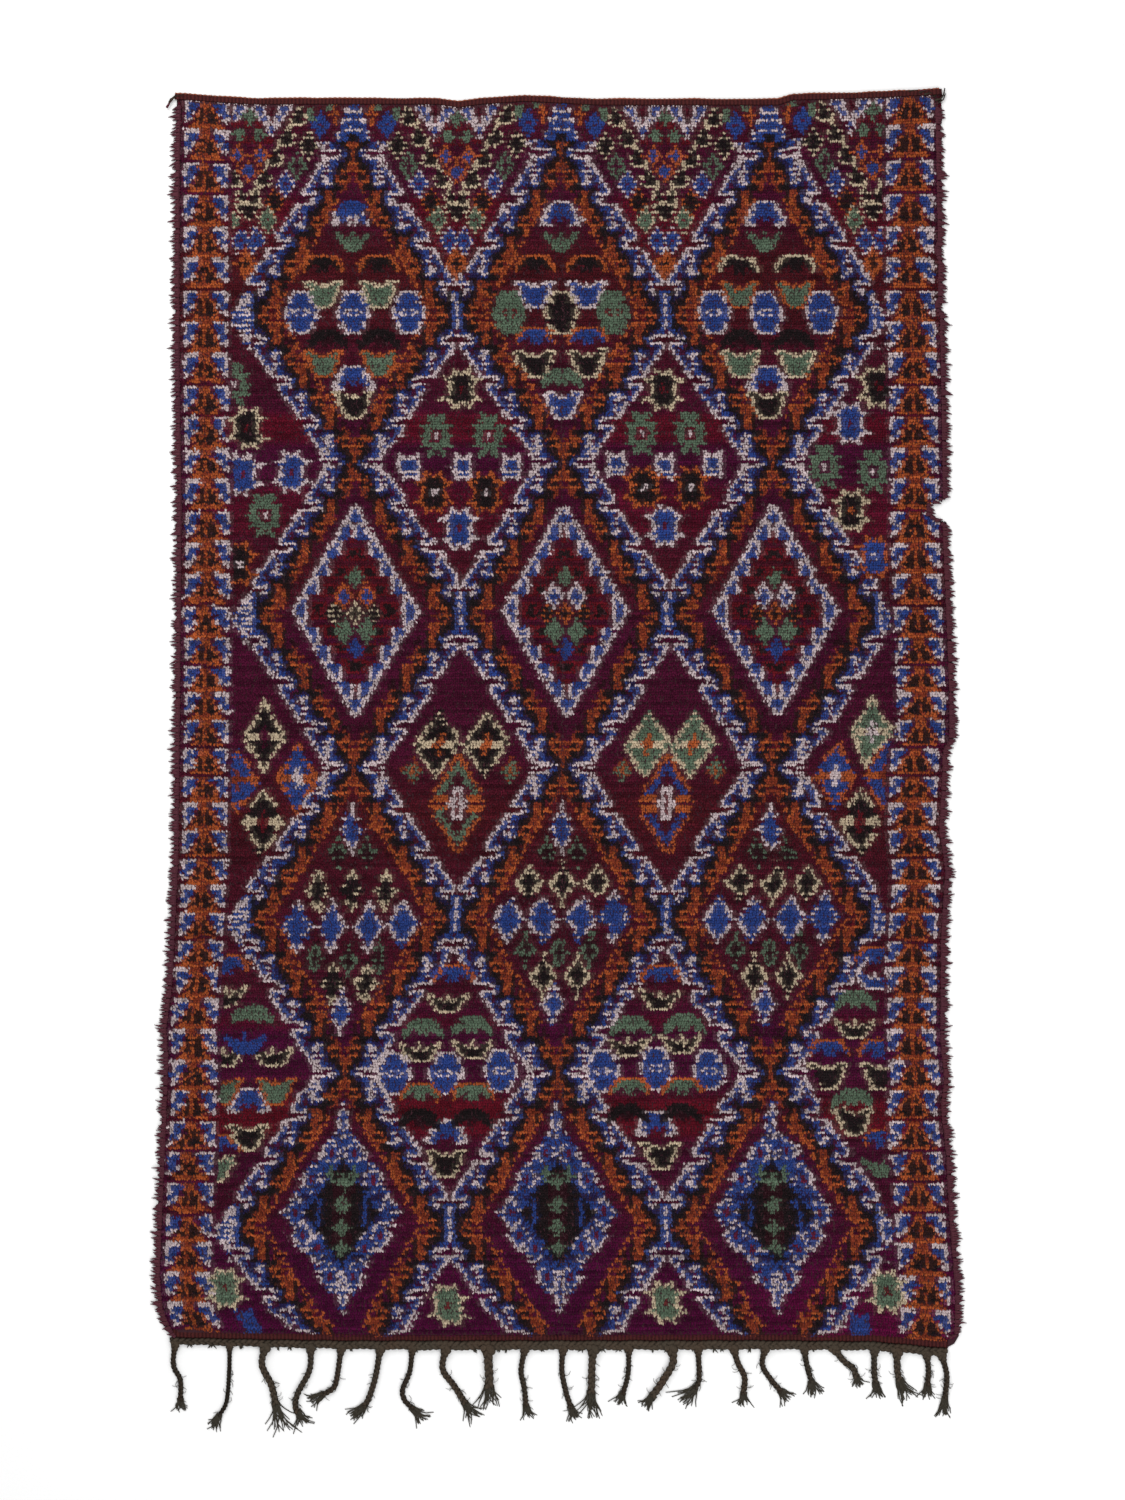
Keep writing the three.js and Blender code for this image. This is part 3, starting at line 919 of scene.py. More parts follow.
BROWNISH, PURPLE, MAGENTA = linear((88, 24, 34)), linear((82, 14, 56)), linear((112, 12, 66))
FOOT_PURPLE, BRIGHT_RED = linear((84, 12, 58)), linear((122, 20, 32))
tints = np.array([linear(colour) for colour in WOOL.values()])
knot_colour = tints[chart]

warm = smooth(0.5 + drift(ROWS, 23, 0.35))[:, None, None]
field = blend(PURPLE, BROWNISH, warm)
low = smooth((row_of - 405) / 50)[..., None]
field = blend(field, FOOT_PURPLE, low)
rosy = (smooth((row_of - 440) / 30) * smooth((column_of - 130) / 50))[..., None] * 0.7
field = blend(field, MAGENTA, rosy)
# Level bands of a redder dye inside the small diamonds: first row, last row and strength.
RED_BANDS = [(34, 60, 0.5), (118, 134, 0.6), (146, 170, 0.35), (352, 362, 0.35), (384, 404, 0.6)]
for top, bottom, share in RED_BANDS:
    redder = smooth((row_of - top) / 5) * smooth((bottom - row_of) / 5)
    field = blend(field, BRIGHT_RED, (redder * share * (u < stair))[..., None])
is_ground = (chart == NUMBER["wine"])[..., None]
knot_colour = np.where(is_ground, field, knot_colour)

stripes = drift(ROWS, 1, 0.09)[:, None]
streaks = rough(1, 6, 0.2) * is_ground[..., 0]
shade = 1 + stripes + streaks + dice.normal(0, 0.1, chart.shape)
knot_colour = knot_colour * np.clip(shade, 0.55, 1.5)[..., None]
# The ends of a knot mingle with those to the left and right.
MINGLED = 0.12
beside = (np.roll(knot_colour, 1, axis=1) + np.roll(knot_colour, -1, axis=1)) / 2
knot_colour = blend(knot_colour, beside, MINGLED)
# The dyes above are as a screen shows them in full light, and the pile itself is darker.
TUFT_GAIN = 0.63
knot_colour = knot_colour * TUFT_GAIN
print("darkest and lightest knot:", np.round(knot_colour.min(), 4), np.round(knot_colour.max(), 3))

# %% [markdown]
# ## One yarn end
# A knot has two yarn ends that stand side by side, lean towards the foot, because each row was beaten
# down on the last, and spread over their neighbours. Seen from above each is a short ragged dash. It is
# modelled once, as a cone of four corners without a base: its tip is drawn towards the foot, and its
# sides a little towards the head. With four triangles it is light enough to be set 200,000 times.

# %% Model the yarn end
nothing_selected()
bpy.ops.mesh.primitive_cone_add(vertices=4, radius1=0.5, radius2=0, depth=1, end_fill_type="NOTHING",
                                location=(0, 0, 0.5))
yarn_end = bpy.context.object
yarn_end.name = "one_yarn_end"
bpy.ops.object.transform_apply(location=True)


def corners_of(piece):
    return np.array([corner.co for corner in piece.data.vertices])


def pick(piece, test):
    """Selects the corners that pass a test, and leaves the piece in edit mode."""
    if piece.mode != "OBJECT":
        bpy.ops.object.mode_set(mode="OBJECT")
    piece.data.polygons.foreach_set("select", [False] * len(piece.data.polygons))
    piece.data.edges.foreach_set("select", [False] * len(piece.data.edges))
    for corner in piece.data.vertices:
        corner.select = bool(test(corner.co))
    bpy.ops.object.mode_set(mode="EDIT")


bpy.ops.object.mode_set(mode="EDIT")
bpy.ops.mesh.select_mode(type="VERT")
pick(yarn_end, lambda co: co.z > 0.5)
bpy.ops.transform.translate(value=(0, -0.26, 0))
pick(yarn_end, lambda co: abs(co.x) > 0.3)
bpy.ops.transform.translate(value=(0, 0.1, 0))
bpy.ops.mesh.select_all(action="SELECT")
bpy.ops.mesh.normals_make_consistent(inside=False)
bpy.ops.object.mode_set(mode="OBJECT")

end_corners = corners_of(yarn_end)
end_faces = np.array([face.vertices[:] for face in yarn_end.data.polygons])
bpy.data.objects.remove(yarn_end)
print("one yarn end:", len(end_corners), "corners,", len(end_faces), "triangles")

# %% [markdown]
# ## The pile
# Each yarn end is copied to its knot with its own small change of place, size, lean and turn, the way
# wool never lies quite the same twice. Some lean right over a neighbour, so that the colours meet in a
# ragged line, and some are sunk lower than the rest, with painted shade that darkens them further. The
# copies are joined as arrays of numbers into a few level bands, because so many separate objects would
# be slow. Every yarn end also gets its own little square on a map, on which its colour can be stored.

# %% Where the knots sit
PILE_HEAD, PILE_FOOT = HEAD - HEAD_BAND, FOOT + FOOT_BAND
LEFT_LINE, RIGHT_LINE = edge(LEFT_TABLE), edge([row for row in RIGHT_TABLE if row[1] > 925])

down = (row_of + 0.5) / ROWS
straight_y = PILE_HEAD + (PILE_FOOT - PILE_HEAD) * down
across = (column_of + 0.5) / COLUMNS
knot_x = LEFT_LINE(straight_y) + (RIGHT_LINE(straight_y) - LEFT_LINE(straight_y)) * across
end_move = np.where(straight_y > 0, head_edge(knot_x) - HEAD, foot_edge(knot_x) - FOOT)
from_end = np.where(straight_y > 0, PILE_HEAD - straight_y, straight_y - PILE_FOOT)
knot_y = straight_y + end_move * (1 - smooth(from_end / END_PULL))

# The cloth and the pile end a few millimetres inside the edge, and the tufts of the selvedges go on.
CLOTH_IN = 0.006
inside = (knot_x > left_edge(knot_y) + CLOTH_IN) & (knot_x < right_edge(knot_y) - CLOTH_IN)


def foot_band_top(x):
    """The flat band at the foot is wider towards its left end."""
    return foot_edge(x) + np.interp(x, [-0.935, -0.35, 0.5, 0.935], [0.023, 0.011, 0.012, 0.020])


inside &= knot_y > foot_band_top(knot_x)
KNOT_WIDE = (RIGHT_LINE(0) - LEFT_LINE(0)) / COLUMNS
KNOT_TALL = (PILE_HEAD - PILE_FOOT) / ROWS
print("one knot, mm:", round(KNOT_WIDE * 1000, 2), "by", round(KNOT_TALL * 1000, 2),
      "knots kept:", int(inside.sum()))

# %% The wool of the pile
pile_wool = Finish("pile_wool")
# The stored knot colour holds the dye and also the painted shade of sunk ends and of ends in the crease.
dye_and_painted_shade = pile_wool.add("ShaderNodeAttribute", {"attribute_name": "knot_colour"}, output="Color")
height_up_tuft = pile_wool.add("ShaderNodeAttribute", {"attribute_name": "up_tuft"}, output="Fac")
fibre = pile_wool.fibres((900, 260, 500))
patchy = pile_wool.noise(26, detail=2)
# Painted shade and light: each yarn end is painted dark at its root and lighter towards its tip, on top of
# the fibre and patchy changes of tone.
fibre_tone_and_painted_root_shade = 0.45 * fibre + 0.35 * patchy + 0.75 * height_up_tuft + 0.02
pile_wool.wear(
    Base_Color=pile_wool.mix(1.0, dye_and_painted_shade, pile_wool.grey(fibre_tone_and_painted_root_shade), "MULTIPLY"),
    Roughness=0.8 + 0.15 * fibre,
    Sheen_Weight=0.01,
    Sheen_Roughness=0.6,
    Specular_IOR_Level=0.06,
    Normal=pile_wool.bump(fibre, 0.0006, 0.5),
)


# %% Set the yarn ends
def joined_copies(name, corners, faces, uv, colours, up):
    """One mesh from arrays: corners, triangles, a map, and two values stored at each corner."""
    mesh = bpy.data.meshes.new(name)
    mesh.from_pydata(corners, [], faces)
    layer = mesh.uv_layers.new(name="OFBake")
    layer.data.foreach_set("uv", uv.astype(np.float32).ravel())
    stored = mesh.attributes.new("knot_colour", "FLOAT_COLOR", "POINT")
    stored.data.foreach_set("color", colours.astype(np.float32).ravel())
    stored = mesh.attributes.new("up_tuft", "FLOAT", "POINT")
    stored.data.foreach_set("value", up.astype(np.float32).ravel())
    mesh.shade_smooth()
    piece = bpy.data.objects.new(name, mesh)
    bpy.context.collection.objects.link(piece)
    return piece


BANDS = 6
PILE_ON_SHOW = 0.0078
# The share of yarn ends that take the colour of the knot beside, or above or below, and that are sunk.
OVER_SIDE, OVER_ROW, SUNK_SHARE = 0.09, 0.015, 0.06
# How uneven the ends are: their places, their turn, and their sizes as shares of a knot's.
ASTRAY_ACROSS, ASTRAY_ALONG, ASTRAY_TURN = 0.0011, 0.0009, 0.24
WIDE_FROM_TO, TALL_FROM_TO, HIGH_FROM_TO = (0.72, 1.08), (1.6, 2.4), (0.75, 1.1)
SUNK_BY = 0.0022
FOLD_HALF, FOLD_DEEP, FOLD_APART, FOLD_SHADE = 0.012, 0.0015, 0.0014, 0.22
pile_bands = []

for band in range(BANDS):
    first, last = ROWS * band // BANDS, ROWS * (band + 1) // BANDS
    rows, columns = np.nonzero(inside[first:last])
    rows, columns = np.repeat(rows + first, 2), np.repeat(columns, 2)
    count = len(rows)
    hand = np.tile([-1, 1], count // 2)
    slope = 0.16 - 0.14 * np.tanh(knot_x[rows, columns] * 3) + 0.12 * np.sin(rows * 0.13 + columns * 0.11)
    x = knot_x[rows, columns] + hand * KNOT_WIDE * 0.25 + dice.normal(0, ASTRAY_ACROSS, count)
    y = knot_y[rows, columns] + hand * KNOT_WIDE * 0.25 * slope + dice.normal(0, ASTRAY_ALONG, count)
    sunk = dice.random(count) < SUNK_SHARE
    top = pile_height(x, y) - SUNK_BY * sunk
    fold = np.clip(1 - np.abs(x - CREASE_X - 0.002 * np.sin(y * 9)) / FOLD_HALF, 0, 1)
    turn = dice.normal(0, ASTRAY_TURN, count) + slope
    wide = KNOT_WIDE * dice.uniform(*WIDE_FROM_TO, count)
    tall = KNOT_TALL * dice.uniform(*TALL_FROM_TO, count)
    high = PILE_ON_SHOW * dice.uniform(*HIGH_FROM_TO, count)
    base = np.maximum(top - high - fold * FOLD_DEEP, 0.0006)
    over = dice.normal(0, 0.0012, count) + fold * np.sign(x - CREASE_X) * FOLD_APART

    shape = end_corners[None, :, :]
    local_x = shape[..., 0] * wide[:, None]
    local_y = shape[..., 1] * tall[:, None]
    cos, sin = np.cos(turn)[:, None], np.sin(turn)[:, None]
    corners = np.stack([
        x[:, None] + local_x * cos - local_y * sin + shape[..., 2] * over[:, None],
        y[:, None] + local_x * sin + local_y * cos,
        base[:, None] + shape[..., 2] * high[:, None],
    ], axis=2)

    faces = end_faces[None] + len(end_corners) * np.arange(count)[:, None, None]
    cells = math.ceil(math.sqrt(count))
    cell = np.stack([np.arange(count) % cells, np.arange(count) // cells], axis=1)
    on_map = (cell[:, None, :] + 0.5 + end_corners[None, :, :2] * 0.84) / cells
    uv = on_map[:, end_faces.ravel(), :].reshape(-1, 2)

    from_row = np.clip(rows + dice.choice([-1, 0, 1], count, p=[OVER_ROW, 1 - 2 * OVER_ROW, OVER_ROW]),
                       0, ROWS - 1)
    from_column = np.clip(columns + hand * (dice.random(count) < OVER_SIDE), 0, COLUMNS - 1)
    # Painted shade: a sunk end is painted at half brightness and an end in the fold of the crease darker, on
    # top of a random change of tone.
    shade = (1 + dice.normal(0, 0.09, count)) * (1 - 0.5 * sunk) * (1 - FOLD_SHADE * fold)
    colour = knot_colour[from_row, from_column] * np.clip(shade, 0.25, 1.6)[:, None]
    colour = np.repeat(np.c_[colour, np.ones(count)], len(end_corners), axis=0)
    up = np.tile(np.clip(end_corners[:, 2], 0, 1), count)
    piece = joined_copies(
        f"pile_band_{band + 1}", corners.reshape(-1, 3), faces.reshape(-1, 3), uv, colour, up)
    piece.data.materials.append(pile_wool.material)
    pile_bands.append(piece)
print("triangles in the pile:", sum(len(piece.data.polygons) for piece in pile_bands))

# %% [markdown]
# ## The ground cloth
# Warps and wefts make a firm cloth that carries the knots, and the lower part of the pile is so dense
# that nothing can be seen between the tufts. Both together are one sheet: a grid is extruded once, its
# underside stays on the floor, and its top follows the pile a few millimetres below the tips.

# %% Ground cloth
BELOW_TIPS, THINNEST, UNDERSIDE = 0.0062, 0.003, 0.0002
CLOTH_ACROSS, CLOTH_ALONG = 96, 150


def stops(fixed, count):
    """Even places from end to end, with the nearest ones moved to the fixed places."""
    made = np.linspace(fixed[0], fixed[-1], count)
    for place in fixed[1:-1]:
        made[np.argmin(np.abs(made - place))] = place
    return np.unique(np.round(made, 5))


cloth_x = stops([-SIDE + CLOTH_IN, -SIDE + 0.02, -SIDE + SIDE_SLOPE, CREASE_X - CREASE_HALF, CREASE_X,
                 CREASE_X + CREASE_HALF, SIDE - SIDE_SLOPE, SIDE - 0.02, SIDE - CLOTH_IN], CLOTH_ACROSS)
tear_rows = [row[0] * MM for row in RIGHT_TABLE if -1.45 < row[0] * MM < 1.45]
cloth_y = stops([FOOT, PILE_FOOT, PILE_FOOT + PILE_SLOPE, *sorted(tear_rows), PILE_HEAD - PILE_SLOPE,
                 PILE_HEAD, HEAD], CLOTH_ALONG)

nothing_selected()
bpy.ops.mesh.primitive_grid_add(x_subdivisions=len(cloth_x) - 1, y_subdivisions=len(cloth_y) - 1, size=2)
ground = bpy.context.object
ground.name = "ground_cloth"
bpy.ops.object.mode_set(mode="EDIT")
bpy.ops.mesh.select_all(action="SELECT")
bpy.ops.mesh.extrude_region_move(TRANSFORM_OT_translate={"value": (0, 0, 1)})
bpy.ops.mesh.select_all(action="SELECT")
bpy.ops.mesh.normals_make_consistent(inside=False)
bpy.ops.object.mode_set(mode="OBJECT")

spots = corners_of(ground)
grid_x = cloth_x[np.rint((spots[:, 0] + 1) / 2 * (len(cloth_x) - 1)).astype(int)]
grid_y = cloth_y[np.rint((spots[:, 1] + 1) / 2 * (len(cloth_y) - 1)).astype(int)]
real_x, real_y = on_rug(grid_x, grid_y)
tips = pile_height(real_x, real_y)
cloth_top = np.maximum(tips - BELOW_TIPS, THINNEST)
spots[:, 0], spots[:, 1] = real_x, real_y
spots[:, 2] = np.where(spots[:, 2] > 0.5, cloth_top, UNDERSIDE)
ground.data.vertices.foreach_set("co", spots.ravel())
ground.data.shade_smooth()
print("ground cloth:", len(ground.data.polygons), "faces, top at most",
      round(float(cloth_top.max()) * 1000, 1), "mm up")

# The cloth is the ground's wine colour painted much darker, as painted shade deep between the roots of the
# tufts.
ground_wool_in_painted_shade = Finish("ground_wool_in_painted_shade")
weft = ground_wool_in_painted_shade.fibres((160, 420, 200))
ground_wool_in_painted_shade.wear(
    Base_Color=ground_wool_in_painted_shade.mix(weft, rgba(30, 9, 16), rgba(66, 20, 34)),
    Roughness=0.95,
    Normal=ground_wool_in_painted_shade.bump(weft, 0.001, 0.6),
)
ground.data.materials.append(ground_wool_in_painted_shade.material)

# %% [markdown]
# ## The flat-woven ends
# Before the first knots and after the last the weaver wove a short band without pile. Its warps show as
# fine ribs, and a twined cord of orange-brown yarn finishes the head. The ribs are a corrugated strip
# with a little thickness, and the cord is a thin tube laid along the edge.

# %% Flat-woven bands
flat_weave = Finish("flat_woven_wool")
rib_yarn = flat_weave.fibres((90, 700, 300))
# A wave node has 20 radians to each unit of its scale.
ribs = flat_weave.add("ShaderNodeTexWave", {"bands_direction": "X"}, {
    "Vector": flat_weave.place(), "Scale": 2 * math.pi / 20 / 0.009, "Distortion": 2.5, "Detail": 2,
    "Detail Scale": 6,
}, output="Fac")
flat_weave.wear(
    Base_Color=flat_weave.mix(0.6 * ribs + 0.5 * rib_yarn, rgba(26, 9, 12), rgba(80, 36, 35)),
    Roughness=0.93,
    Specular_IOR_Level=0.1,
    Normal=flat_weave.bump(rib_yarn, 0.0008, 0.7),
)
RIB, RIB_HIGH, WEFT_HIGH, BAND_UP, BAND_THICK = 0.006, 0.0013, 0.0004, 0.0036, 0.003


def flat_band(name, inner, outer, end):
    """A corrugated strip at an end of the rug, between two lines that are each a function of x."""
    x_first, x_last = float(left_edge(end)) + 0.001, float(right_edge(end)) - 0.001
    across = round((x_last - x_first) / RIB) * 2
    along = 5
    nothing_selected()
    bpy.ops.mesh.primitive_grid_add(x_subdivisions=across, y_subdivisions=along, size=2)
    strip = bpy.context.object
    strip.name = name
    spots = corners_of(strip)
    x = x_first + (spots[:, 0] + 1) / 2 * (x_last - x_first)
    share = (spots[:, 1] + 1) / 2
    column = np.rint((spots[:, 0] + 1) / 2 * across)
    line = np.rint(share * along)
    rib = RIB_HIGH * (column % 2 == 0) + WEFT_HIGH * ((column // 2 + line) % 2 == 0)
    spots[:, 0] = x
    spots[:, 1] = outer(x) + (inner(x) - outer(x)) * share
    spots[:, 2] = BAND_UP + rib + 0.002 * smooth((share - 0.6) / 0.4)
    strip.data.vertices.foreach_set("co", spots.ravel())
    bpy.ops.object.modifier_add(type="SOLIDIFY")
    backing = strip.modifiers[-1]
    backing.thickness, backing.offset = BAND_THICK, -1
    bpy.ops.object.modifier_apply(modifier=backing.name)
    strip.data.shade_smooth()
    strip.data.materials.append(flat_weave.material)
    return strip


head_band = flat_band("head_flat_weave", lambda x: head_edge(x) - HEAD_BAND - 0.002,
                      lambda x: head_edge(x) - 0.001, HEAD)
foot_band = flat_band("foot_flat_weave", lambda x: foot_band_top(x) + 0.003,
                      lambda x: foot_edge(x) + 0.001, FOOT)
print("ribs in a flat-woven band:", len(head_band.data.vertices) // 24)


# %% Yarns as tubes
def yarns(name, paths, finish, sides=1):
    """Tubes along paths of (x, y, z, radius), made as one curve and turned into a mesh."""
    line = bpy.data.curves.new(name, "CURVE")
    line.dimensions = "3D"
    line.bevel_depth = 1.0
    line.bevel_resolution = sides
    line.use_fill_caps = True
    line.resolution_u = 1
    for path in paths:
        path = np.asarray(path, float)
        spline = line.splines.new("POLY")
        spline.points.add(len(path) - 1)
        spline.points.foreach_set("co", np.c_[path[:, :3], np.ones(len(path))].ravel())
        spline.points.foreach_set("radius", path[:, 3])
    piece = bpy.data.objects.new(name, line)
    bpy.context.collection.objects.link(piece)
    nothing_selected()
    piece.select_set(True)
    bpy.context.view_layer.objects.active = piece
    bpy.ops.object.convert(target="MESH")
    piece = bpy.context.object
    piece.name = name
    piece.data.shade_smooth()
    piece.data.materials.append(finish.material)
    return piece


edge_yarn = Finish("orange_brown_yarn")
edge_grain = edge_yarn.fibres((260, 260, 260), detail=2)
edge_yarn.wear(
    Base_Color=edge_yarn.mix(edge_grain, rgba(92, 42, 26), rgba(164, 86, 48)),
    Roughness=0.92,
    Normal=edge_yarn.bump(edge_grain, 0.0005, 0.5),
)
cord_x = np.arange(float(left_edge(HEAD)) + 0.002, float(right_edge(HEAD)) - 0.002, 0.006)
beat = np.where(np.arange(len(cord_x)) % 2 == 0, 1, -1)
unruly = np.interp(cord_x, np.arange(-1, 1.01, 0.035), dice.normal(0, 0.0008, 58))
cord_path = np.c_[cord_x, head_edge(cord_x) - 0.0008 + beat * 0.0003 + unruly, 0.0056 + beat * 0.0005,
                  0.0019 + beat * 0.0003]
head_cord = yarns("head_cord", [cord_path], edge_yarn)
print("head cord:", len(head_cord.data.polygons), "faces")

# %% [markdown]
# ## The ragged selvedges
# Along both sides thick dark wool was wound round the outer warps and has worn into loose locks. One
# pointed lock stands out every few millimetres and droops to the floor, and a slow wave along the edge
# makes some of them longer, so that they gather in clumps.

# %% Selvedge locks
SELVEDGE_STEP, CLUMP_LONG = 0.0048, 0.043
LOCK_ROOT = 0.016


def locks_of_side(sign):
    edge_at = right_edge if sign > 0 else left_edge
    paths = []
    for y in np.arange(FOOT + 0.012, HEAD - 0.02, SELVEDGE_STEP):
        clump = 0.5 + 0.5 * math.sin(y * 2 * math.pi / CLUMP_LONG + 2.1 * math.sin(y * 23))
        start = y + dice.uniform(-0.003, 0.003)
        reach = dice.uniform(-0.003, 0.006) + clump * dice.uniform(0.001, 0.011)
        lean = dice.normal(-0.001, 0.003)
        thick = dice.uniform(0.0038, 0.0058)
        rim = float(edge_at(start))
        rows = []
        for share in (0.0, 0.4, 0.75, 1.0):
            out = -LOCK_ROOT + (reach + LOCK_ROOT) * share
            radius = thick * (1 - 0.92 * share ** 1.3)
            up = 0.0085 * (1 - share) ** 0.8 + 0.0006 + radius
            rows.append((rim + sign * out, start + lean * share ** 1.4, up, radius))
        paths.append(rows)
    return paths


selvedge_wool = Finish("selvedge_wool")
lock_grain = selvedge_wool.fibres((120, 500, 300))
lock_patch = selvedge_wool.noise(7, detail=1)
selvedge_dark = selvedge_wool.mix(lock_grain, rgba(40, 20, 29), rgba(100, 56, 70))
selvedge_red = selvedge_wool.mix(lock_grain, rgba(54, 24, 32), rgba(112, 58, 66))
selvedge_wool.wear(
    Base_Color=selvedge_wool.mix(lock_patch, selvedge_dark, selvedge_red),
    Roughness=0.95,
    Specular_IOR_Level=0.08,
    Normal=selvedge_wool.bump(lock_grain, 0.0008, 0.6),
)
left_locks = yarns("left_selvedge", locks_of_side(-1), selvedge_wool, sides=0)
right_locks = yarns("right_selvedge", locks_of_side(1), selvedge_wool, sides=0)
print("selvedge faces:", len(left_locks.data.polygons), len(right_locks.data.polygons))

# %% [markdown]
# ## The braid at the foot
# The warp ends are plaited into a flat braid along the foot. Three strands follow the same wave, each
# a third of a turn behind the last: a wave across the braid, and one of half its length up and down, so
# that they pass over and under each other in turn.

# %% Braid
dark_wool = Finish("dark_wool")
strand_grain = dark_wool.fibres((420, 420, 420))
strand_patch = dark_wool.noise(14, detail=2)
olive = dark_wool.mix(strand_grain, rgba(16, 15, 13), rgba(66, 64, 55))
brown = dark_wool.mix(strand_grain, rgba(20, 15, 12), rgba(78, 60, 48))
up_plait = dark_wool.add("ShaderNodeSeparateXYZ", inputs={"Vector": dark_wool.place()}, output="Z")
# From 6.5 mm to 12.5 mm up a strand goes from the shade of the others to full light.
lit = dark_wool.add("ShaderNodeMapRange", inputs={
    "Value": up_plait, "From Min": 0.0065, "From Max": 0.0125, "To Min": 0.25, "To Max": 1.5})
dark_wool.wear(
    Base_Color=dark_wool.mix(1.0, dark_wool.mix(strand_patch, olive, brown), dark_wool.grey(lit), "MULTIPLY"),
    Roughness=0.93,
    Specular_IOR_Level=0.1,
    Normal=dark_wool.bump(strand_grain, 0.0008, 0.7),
)

# Where the same wool is frayed it is dull and a little lighter.
frayed_wool = Finish("frayed_dark_wool")
frayed_grain = frayed_wool.fibres((420, 420, 420))
frayed_wool.wear(
    Base_Color=frayed_wool.mix(frayed_grain, rgba(26, 24, 21), rgba(76, 71, 61)),
    Roughness=0.94,
    Specular_IOR_Level=0.1,
)


def plait(middle, way, length_at, width, height, pitch, strands=3):
    """The strands of a plait round a middle line, whose places, way and length so far are arrays."""
    side = np.stack([-way[:, 1], way[:, 0]], axis=1)
    paths = []
    for strand in range(strands):
        phase = 2 * math.pi * (length_at / pitch + strand / strands)
        out = np.sin(phase) * width * 0.29
        up = np.sin(2 * phase) * height * 0.28
        place = middle[:, :2] + side * out[:, None]
        thick = width * (0.22 + 0.045 * np.sin(length_at * 210 + strand * 2.1))
        floor_up = np.maximum(middle[:, 2] + up, thick + 0.0002)
        paths.append(np.c_[place, floor_up, thick])
    return paths


BRAID_HIGH, BRAID_PITCH = 0.012, 0.044
braid_x = np.arange(-0.931, 0.9385, 0.005)
braid_wide = np.interp(braid_x, [-0.935, -0.31, 0.31, 0.935], [0.017, 0.024, 0.024, 0.022])
braid_y = foot_edge(braid_x) + 0.003 - braid_wide / 2
middle = np.c_[braid_x, braid_y, np.full(len(braid_x), 0.0062)]
way = np.gradient(middle[:, :2], axis=0)
way /= np.linalg.norm(way, axis=1)[:, None]
strands = plait(middle, way, braid_x, braid_wide, BRAID_HIGH, BRAID_PITCH)
braid = yarns("foot_braid", strands, dark_wool, sides=2)
print("braid faces:", len(braid.data.polygons))

# %% [markdown]
# ## The tassels
# From the braid hang plaited cords of the same dark wool, each bent its own way, with a frayed brush at
# its end. A cord is again a plait of three strands, here along a smooth line through a few bends, and
# thicker where it leaves the braid. The brush is a spray of thin tapering yarns, and single hairs stand
# off the cord.

# %% Tassel table
# Place on the braid, bends from there, width of the plait, length and spread of the brush, in mm.
TASSELS = [
    (-920, [(-5, -46), (12, -84), (12, -132)], 14, (26, 12)),
    (-790, [(0, -58), (-7, -130), (-26, -166)], 12, (36, 16)),
    (-703, [(-8, -38), (14, -86), (24, -134)], 18, (72, 26)),
    (-595, [(-2, -48), (-29, -103), (-36, -134), (-30, -150)], 16, (38, 14)),
    (-521, [(-10, -62), (-19, -90), (-48, -108)], 15, (36, 18)),
    (-427, [(-12, -65), (-29, -118), (-41, -134)], 16, (42, 24)),
    (-350, [(-7, -50), (-24, -91), (-19, -118), (2, -139)], 14, (42, 18)),
    (-269, [(-8, -41), (20, -82), (46, -125)], 17, (50, 16)),
    (-168, [(2, -38), (2, -86)], 23, (50, 34)),
    (-79, [(-10, -46), (-2, -89), (2, -132)], 15, (30, 16)),
    (12, [(-3, -46), (8, -101), (20, -136)], 15, (34, 12)),
    (84, [(-2, -48), (-5, -100)], 20, (62, 22)),
    (170, [(-2, -55), (-15, -104)], 14, (26, 12)),
    (271, [(6, -28), (-20, -72), (-45, -108)], 20, (36, 14)),
    (336, [(3, -67), (-8, -90)], 15, (48, 34)),
    (420, [(12, -28), (29, -64), (26, -104)], 16, (28, 16)),
    (499, [(-8, -34), (15, -72), (38, -98)], 15, (30, 20)),
    (590, [(9, -38), (20, -76)], 15, (34, 26)),
    (660, [(26, -22), (50, -40), (58, -62)], 17, (24, 10)),
    (760, [(0, -43), (4, -78)], 16, (36, 18)),
    (814, [(2, -38), (8, -64)], 18, (56, 30)),
    (884, [(6, -29), (4, -70)], 15, (32, 22)),
    (920, [(14, -41), (10, -98)], 15, (46, 20)),
]


def smooth_line(points, step):
    """Even places on a smooth curve through the points, with the way it runs and the length so far."""
    points = np.vstack([2 * points[0] - points[1], points, 2 * points[-1] - points[-2]])
    fine = []
    for i in range(1, len(points) - 2):
        share = np.linspace(0, 1, 20, endpoint=False)[:, None]
        a, b, c, d = points[i - 1:i + 3]
        fine.append(0.5 * (2 * b + (c - a) * share + (2 * a - 5 * b + 4 * c - d) * share ** 2
                           + (3 * b - a - 3 * c + d) * share ** 3))
    fine = np.vstack([*fine, points[-2]])
    so_far = np.r_[0, np.cumsum(np.linalg.norm(np.diff(fine, axis=0), axis=1))]
    length_at = np.linspace(0, so_far[-1], max(round(so_far[-1] / step), 3) + 1)
    places = np.stack([np.interp(length_at, so_far, fine[:, k]) for k in (0, 1)], axis=1)
    way = np.gradient(places, axis=0)
    return places, way / np.linalg.norm(way, axis=1)[:, None], length_at


